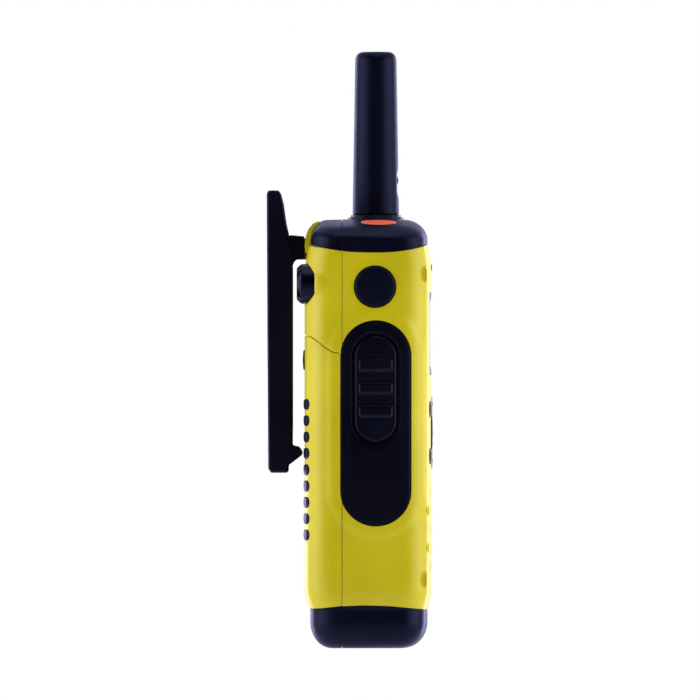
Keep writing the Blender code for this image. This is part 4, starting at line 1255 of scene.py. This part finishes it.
def clip_lever():
    """The long clip: a channel with a thumb pad above its pin, a hook at its foot and eased edges."""
    profile = [(30.9, 55.7, 0.7), (31.8, 57.0, 1.0), (32.1, 100.0, 30), (32.3, 144.6, 1.0)]
    profile += [(31.7, 145.6, 0.6), (28.5, 145.6, 0.7), (27.6, 144.4, 1.2), (26.8, 141.1, 4)]
    profile += [(26.0, 135.4, 6), (25.1, 131.2, 6), (24.3, 124.5, 6), (23.9, 121.0, 4), (23.9, 71.0, 8)]
    profile += [(24.0, 64.4, 0.9), (21.9, 64.1, 1.4), (20.8, 62.4, 0.9), (21.0, 61.4, 0.6)]
    profile += [(23.8, 59.2, 1.0), (25.2, 58.2, 0.8), (25.3, 56.2, 0.7), (25.9, 55.7, 0.7)]
    made = object_of("clip_arm", soft_prism("X", profile, CLIP_HALF_WIDTH, 0.9))
    channel = rounded(0, 104.75, CLIP_HALF_WIDTH - CLIP_FLANGE, 37.75, 1.5)
    cut(made, prism("Y", channel, 20.0, 30.0))
    slot = filleted([(29.4, 142.9, 0.3), (30.8, 142.9, 0.3), (30.8, 147, 0), (29.4, 147, 0)])
    cut(made, prism("X", slot, -CLIP_HALF_WIDTH - 1, 0.5 - CLIP_HALF_WIDTH))
    cut(made, prism("X", slot, CLIP_HALF_WIDTH - 0.5, CLIP_HALF_WIDTH + 1))
    panel = rounded(0, 92.0, 6.6, 30.0, 2.0)
    ridges = [rounded(0, 128.4 + 2.6 * i, 6.6, 0.75, 0.7) for i in range(5)]
    cut(made, joined([prism("Y", outline, 31.7, 34.0) for outline in [panel] + ridges]))
    dress(made, BLACK, "clip_lever", "clip_lever")


def clip_spring():
    """A coil of wire round the pin, between the bracket's ears."""
    turns, steps, half_length, coil_radius, wire = 4, 32, 3.8, 1.75, 0.3
    rings = []
    for i in range(turns * steps + 1):
        angle = 2 * math.pi * i / steps
        x = -half_length + 2 * half_length * i / (turns * steps)
        ring = []
        for turn in arc(0, 360, 10)[:-1]:
            reach = coil_radius + wire * math.cos(turn)
            across = x + wire * math.sin(turn)
            ring.append((across, PIVOT_Y + reach * math.cos(angle), PIVOT_Z + reach * math.sin(angle)))
        rings.append(ring)
    piece("coil_wire", loft(rings), STEEL, "clip_bracket", "clip_spring")


# --- front face


def bowed_rings(outline, layers):
    """Rings of an outline laid on the bowed front, from its layers of (inset, height over the casing)."""
    first = outline(0.0)
    lengths = [math.dist(point, after) for point, after in zip(first, first[1:] + first[:1])]
    counts = [max(1, round(length / 1.5)) for length in lengths]
    rings = []
    for inset, height in layers:
        corners = outline(inset)
        ring = []
        for i, (x, z) in enumerate(corners):
            x1, z1 = corners[(i + 1) % len(corners)]
            shares = [k / counts[i] for k in range(counts[i])]
            ring += [(x + (x1 - x) * t, z + (z1 - z) * t) for t in shares]
        rings.append([(x, -front_surface(x) - height, z) for x, z in ring])
    return rings


def display():
    def frame_outline(inset):
        return rounded(0, DISPLAY_Z, 19.8 - inset, 13.3 - inset, 2.2 - min(inset, 0.9))

    layers = [(0.0, -1.8), (0.0, -0.4), (0.08, -0.2), (0.25, -0.06), (0.5, 0.0), (1.4, -0.04)]
    layers += [(2.3, -0.18), (2.9, -0.35), (3.05, -0.5), (3.1, -1.8)]
    frame_shape = loft(bowed_rings(frame_outline, layers), closed=True)
    piece("screen_frame", frame_shape, BLACK, "radio_body", "display_bezel")

    def lens_outline(inset):
        return rounded(0, DISPLAY_Z, 16.3 - inset, 10.1 - inset, 1.2 - min(inset, 1.0))

    layers = [(0.0, -1.7), (0.0, -0.55), (0.08, -0.42)]
    layers += [(inset, -0.36) for inset in (0.25, 2, 4, 6, 8, 9.9)]
    lens_shape = loft(bowed_rings(lens_outline, layers))
    piece("screen_window", lens_shape, CLEAR, "radio_body", "display_lens")


def screen_marks():
    """Plain signal bars, a battery gauge and a row of level blocks on the display panel."""
    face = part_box("lcd_panel")[0][1] / MM
    blocks = [(-12.6 + 1.5 * i, 104.0, 0.9, 0.8 + 0.7 * i) for i in range(5)]
    blocks += [(-12.6 + 1.6 * i, 93.4, 1.1, 1.6 + 0.9 * math.sin(0.2 * i) ** 2) for i in range(16)]
    blocks += [(6.6, 104.0, 6.0, 0.35), (6.6, 106.85, 6.0, 0.35), (6.6, 104.0, 0.35, 3.2)]
    blocks += [(12.3, 104.0, 0.35, 3.2), (12.6, 105.0, 0.6, 1.2)]
    blocks += [(7.3 + 1.6 * i, 104.7, 1.2, 1.8) for i in range(3)]
    blocks += [(-12.6, 101.6, 25.2, 0.25), (-12.6, 91.8, 25.2, 0.25)]
    marks = [box((x, face - 0.1, z), (x + wide, face - 0.02, z + tall)) for x, z, wide, tall in blocks]
    piece("screen_marks", joined(marks), BLACK, "radio_body")


def front_keys():
    ring = [(NAV_RADIUS, -19.6), (NAV_RADIUS - 0.05, -19.9), (NAV_RADIUS - 0.25, -20.25)]
    ring += [(NAV_RADIUS - 0.7, -20.5), (NAV_RADIUS - 2.0, -20.45), (8.6, -20.2), (7.0, -20.3)]
    ring += [(6.2, -20.5), (5.7, -20.42), (5.35, -20.1), (5.3, -17.0), (12.9, -17.0), (12.9, -17.6)]
    ring.append((NAV_RADIUS, -17.6))
    layers = [(circle(0, NAV_Z, radius, 128), y) for radius, y in ring]
    made = object_of("nav_wheel", stack("Y", layers, closed=True))
    bump = [(0, -19.9), (1.0, -19.9), (0.95, -20.4), (0.7, -20.6), (0, -20.68)]
    spots = [(0, 9), (0, -9), (9, 0), (-9, 0)]
    add(made, joined([turned("Y", x, NAV_Z + z, bump, 32) for x, z in spots]))
    dress(made, BLACK, "nav_rocker", "nav_ring")

    steps = [(SELECT_RADIUS - 0.01, -16.8), (0.0, -16.8), (0.0, -20.1), (0.06, -20.35), (0.25, -20.55)]
    steps += [(0.6, -20.66), (1.6, -20.6), (3.0, -20.52), (SELECT_RADIUS - 0.01, -20.5)]
    layers = [(circle(0, NAV_Z, SELECT_RADIUS - inset, 96), y) for inset, y in steps]
    piece("select_cap", stack("Y", layers), GREY, "select_button", "select_button")
    steps = [(0.0, -16.9), (0.0, -19.9), (0.05, -20.05), (0.2, -20.2), (0.5, -20.28), (1.2, -20.3)]
    steps.append((2.3, -20.3))
    for name, (x, z) in key_places().items():
        layers = [(key_outline(x, z, -inset), y) for inset, y in steps]
        piece(f"{name}_cap", stack("Y", layers), GREY, name, name)
    steps = [(0.0, -16.5), (0.0, -19.95), (0.1, -20.2), (0.4, -20.4), (LED_RADIUS - 0.01, -20.5)]
    layers = [(circle(0, LED_Z, LED_RADIUS - inset, 32), y) for inset, y in steps]
    piece("status_dot", stack("Y", layers), CLEAR, "radio_body", "status_led")


def battery_cells():
    """Cells with a rolled shoulder, a paper washer and a raised contact."""
    for number in (1, 2, 3):
        x, y, radius, foot, tip = round_box(f"battery_cell_{number}")
        top = tip - 1.0
        profile = [(0, foot), (4.6, foot), (4.8, foot + 0.15), (6.2, foot + 0.1), (radius - 0.3, foot)]
        profile += [(radius, foot + 0.35), (radius, top - 0.5), (radius - 0.15, top - 0.15)]
        profile += [(radius - 0.6, top), (5.6, top), (5.3, top - 0.3), (3.1, top - 0.3), (2.8, top - 0.1)]
        profile += [(2.75, tip - 0.3), (2.5, tip - 0.05), (2.2, tip), (0, tip)]
        cell = turned("Z", x, y, profile, 96)
        piece(f"cell_{number}", cell, CELL, "radio_body", f"battery_cell_{number}")


def torch_lens():
    x, y, radius, _, _ = round_box("flashlight_lens")
    profile = [(0, 0.55), (radius - 1.4, 0.5), (radius - 0.5, 0.4), (radius - 0.15, 0.5)]
    profile += [(radius, 0.8), (radius, 2.2), (0, 2.2)]
    window = turned("Z", x, y, profile, 64)
    piece("torch_window", window, CLEAR, "radio_body", "flashlight_lens")


front_casing()
rear_casing()
battery_door()
top_bumpers()
bottom_bumpers()
seam_gasket()
talk_surround()
grip_pad()
talk_button()
side_button()
port_flap()
alert_button()
antenna()
grip_ribs()
thumb_pad()
lock_knobs()
clip_bracket()
clip_lever()
clip_spring()
display()
screen_marks()
front_keys()
battery_cells()
torch_lens()

# every CAD node that still shows gets the procedural finish of its slot
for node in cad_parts.values():
    for place in node.material_slots:
        place.material = BY_SLOT[place.material.name.split(".")[0]]


# --- floor, light and camera


def studio():
    """A pale floor below the slid-off door, a white surround dim behind the camera, and soft lights."""
    low, high = cad_bounds
    centre = (low + high) / 2
    bpy.ops.mesh.primitive_plane_add(size=12.0, location=(0, 0, low.z - FLOOR_DROP * MM))
    floor = bpy.context.object
    floor.name = "studio_floor"
    paint = surface("pale_floor")
    seen = paint.add("ShaderNodeLightPath").outputs["Is Camera Ray"]
    paint.shade(Base_Color=rgba(0.8, 0.8, 0.8), Roughness=0.85, Specular_IOR_Level=0.1)
    paint.shade(Emission_Color=rgba(1.0, 1.0, 1.0), Emission_Strength=paint.remap(seen, 0.1, 0.8))
    floor.data.materials.append(paint.made)

    world = Nodes(bpy.data.worlds.new("surround"), "Background")
    bpy.context.scene.world = world.made
    parts = world.add("ShaderNodeSeparateXYZ", {"Vector": world.places["Generated"]})
    fade = world.remap(parts.outputs["X"], 0.03, 0.9, -0.9, 0.35)
    fade.node.interpolation_type = "SMOOTHSTEP"
    seen = world.add("ShaderNodeLightPath").outputs["Is Camera Ray"]
    world.shade(Color=rgba(1.0, 1.0, 1.0), Strength=world.maths("MAXIMUM", fade, seen))

    for name, place, size, power in LIGHTS:
        lamp = bpy.data.lights.new(name, "AREA")
        lamp.shape = "RECTANGLE"
        lamp.size, lamp.size_y = size
        lamp.energy = power
        holder = bpy.data.objects.new(name, lamp)
        holder.location = Vector(place)
        holder.visible_camera = False
        aim = Vector((0, 0, centre.z)) - holder.location
        holder.rotation_euler = aim.to_track_quat("-Z", "Y").to_euler()
        bpy.context.scene.collection.objects.link(holder)


def side_camera():
    """A long lens on the talk button side, level with the middle of the radio."""
    lens = bpy.data.cameras.new("camera")
    lens.sensor_width = 36.0
    lens.lens = 36.0 * (CAMERA_DISTANCE - HALF_WIDTH) / FRAME_WIDTH
    lens.clip_start = 0.1
    lens.clip_end = 30.0
    camera = bpy.data.objects.new("camera", lens)
    camera.location = (-CAMERA_DISTANCE * MM, AIM_Y * MM, AIM_Z * MM)
    camera.rotation_euler = (math.pi / 2, 0, -math.pi / 2)
    bpy.context.scene.collection.objects.link(camera)
    bpy.context.scene.camera = camera


studio()
side_camera()
bpy.context.scene.view_settings.view_transform = "Standard"
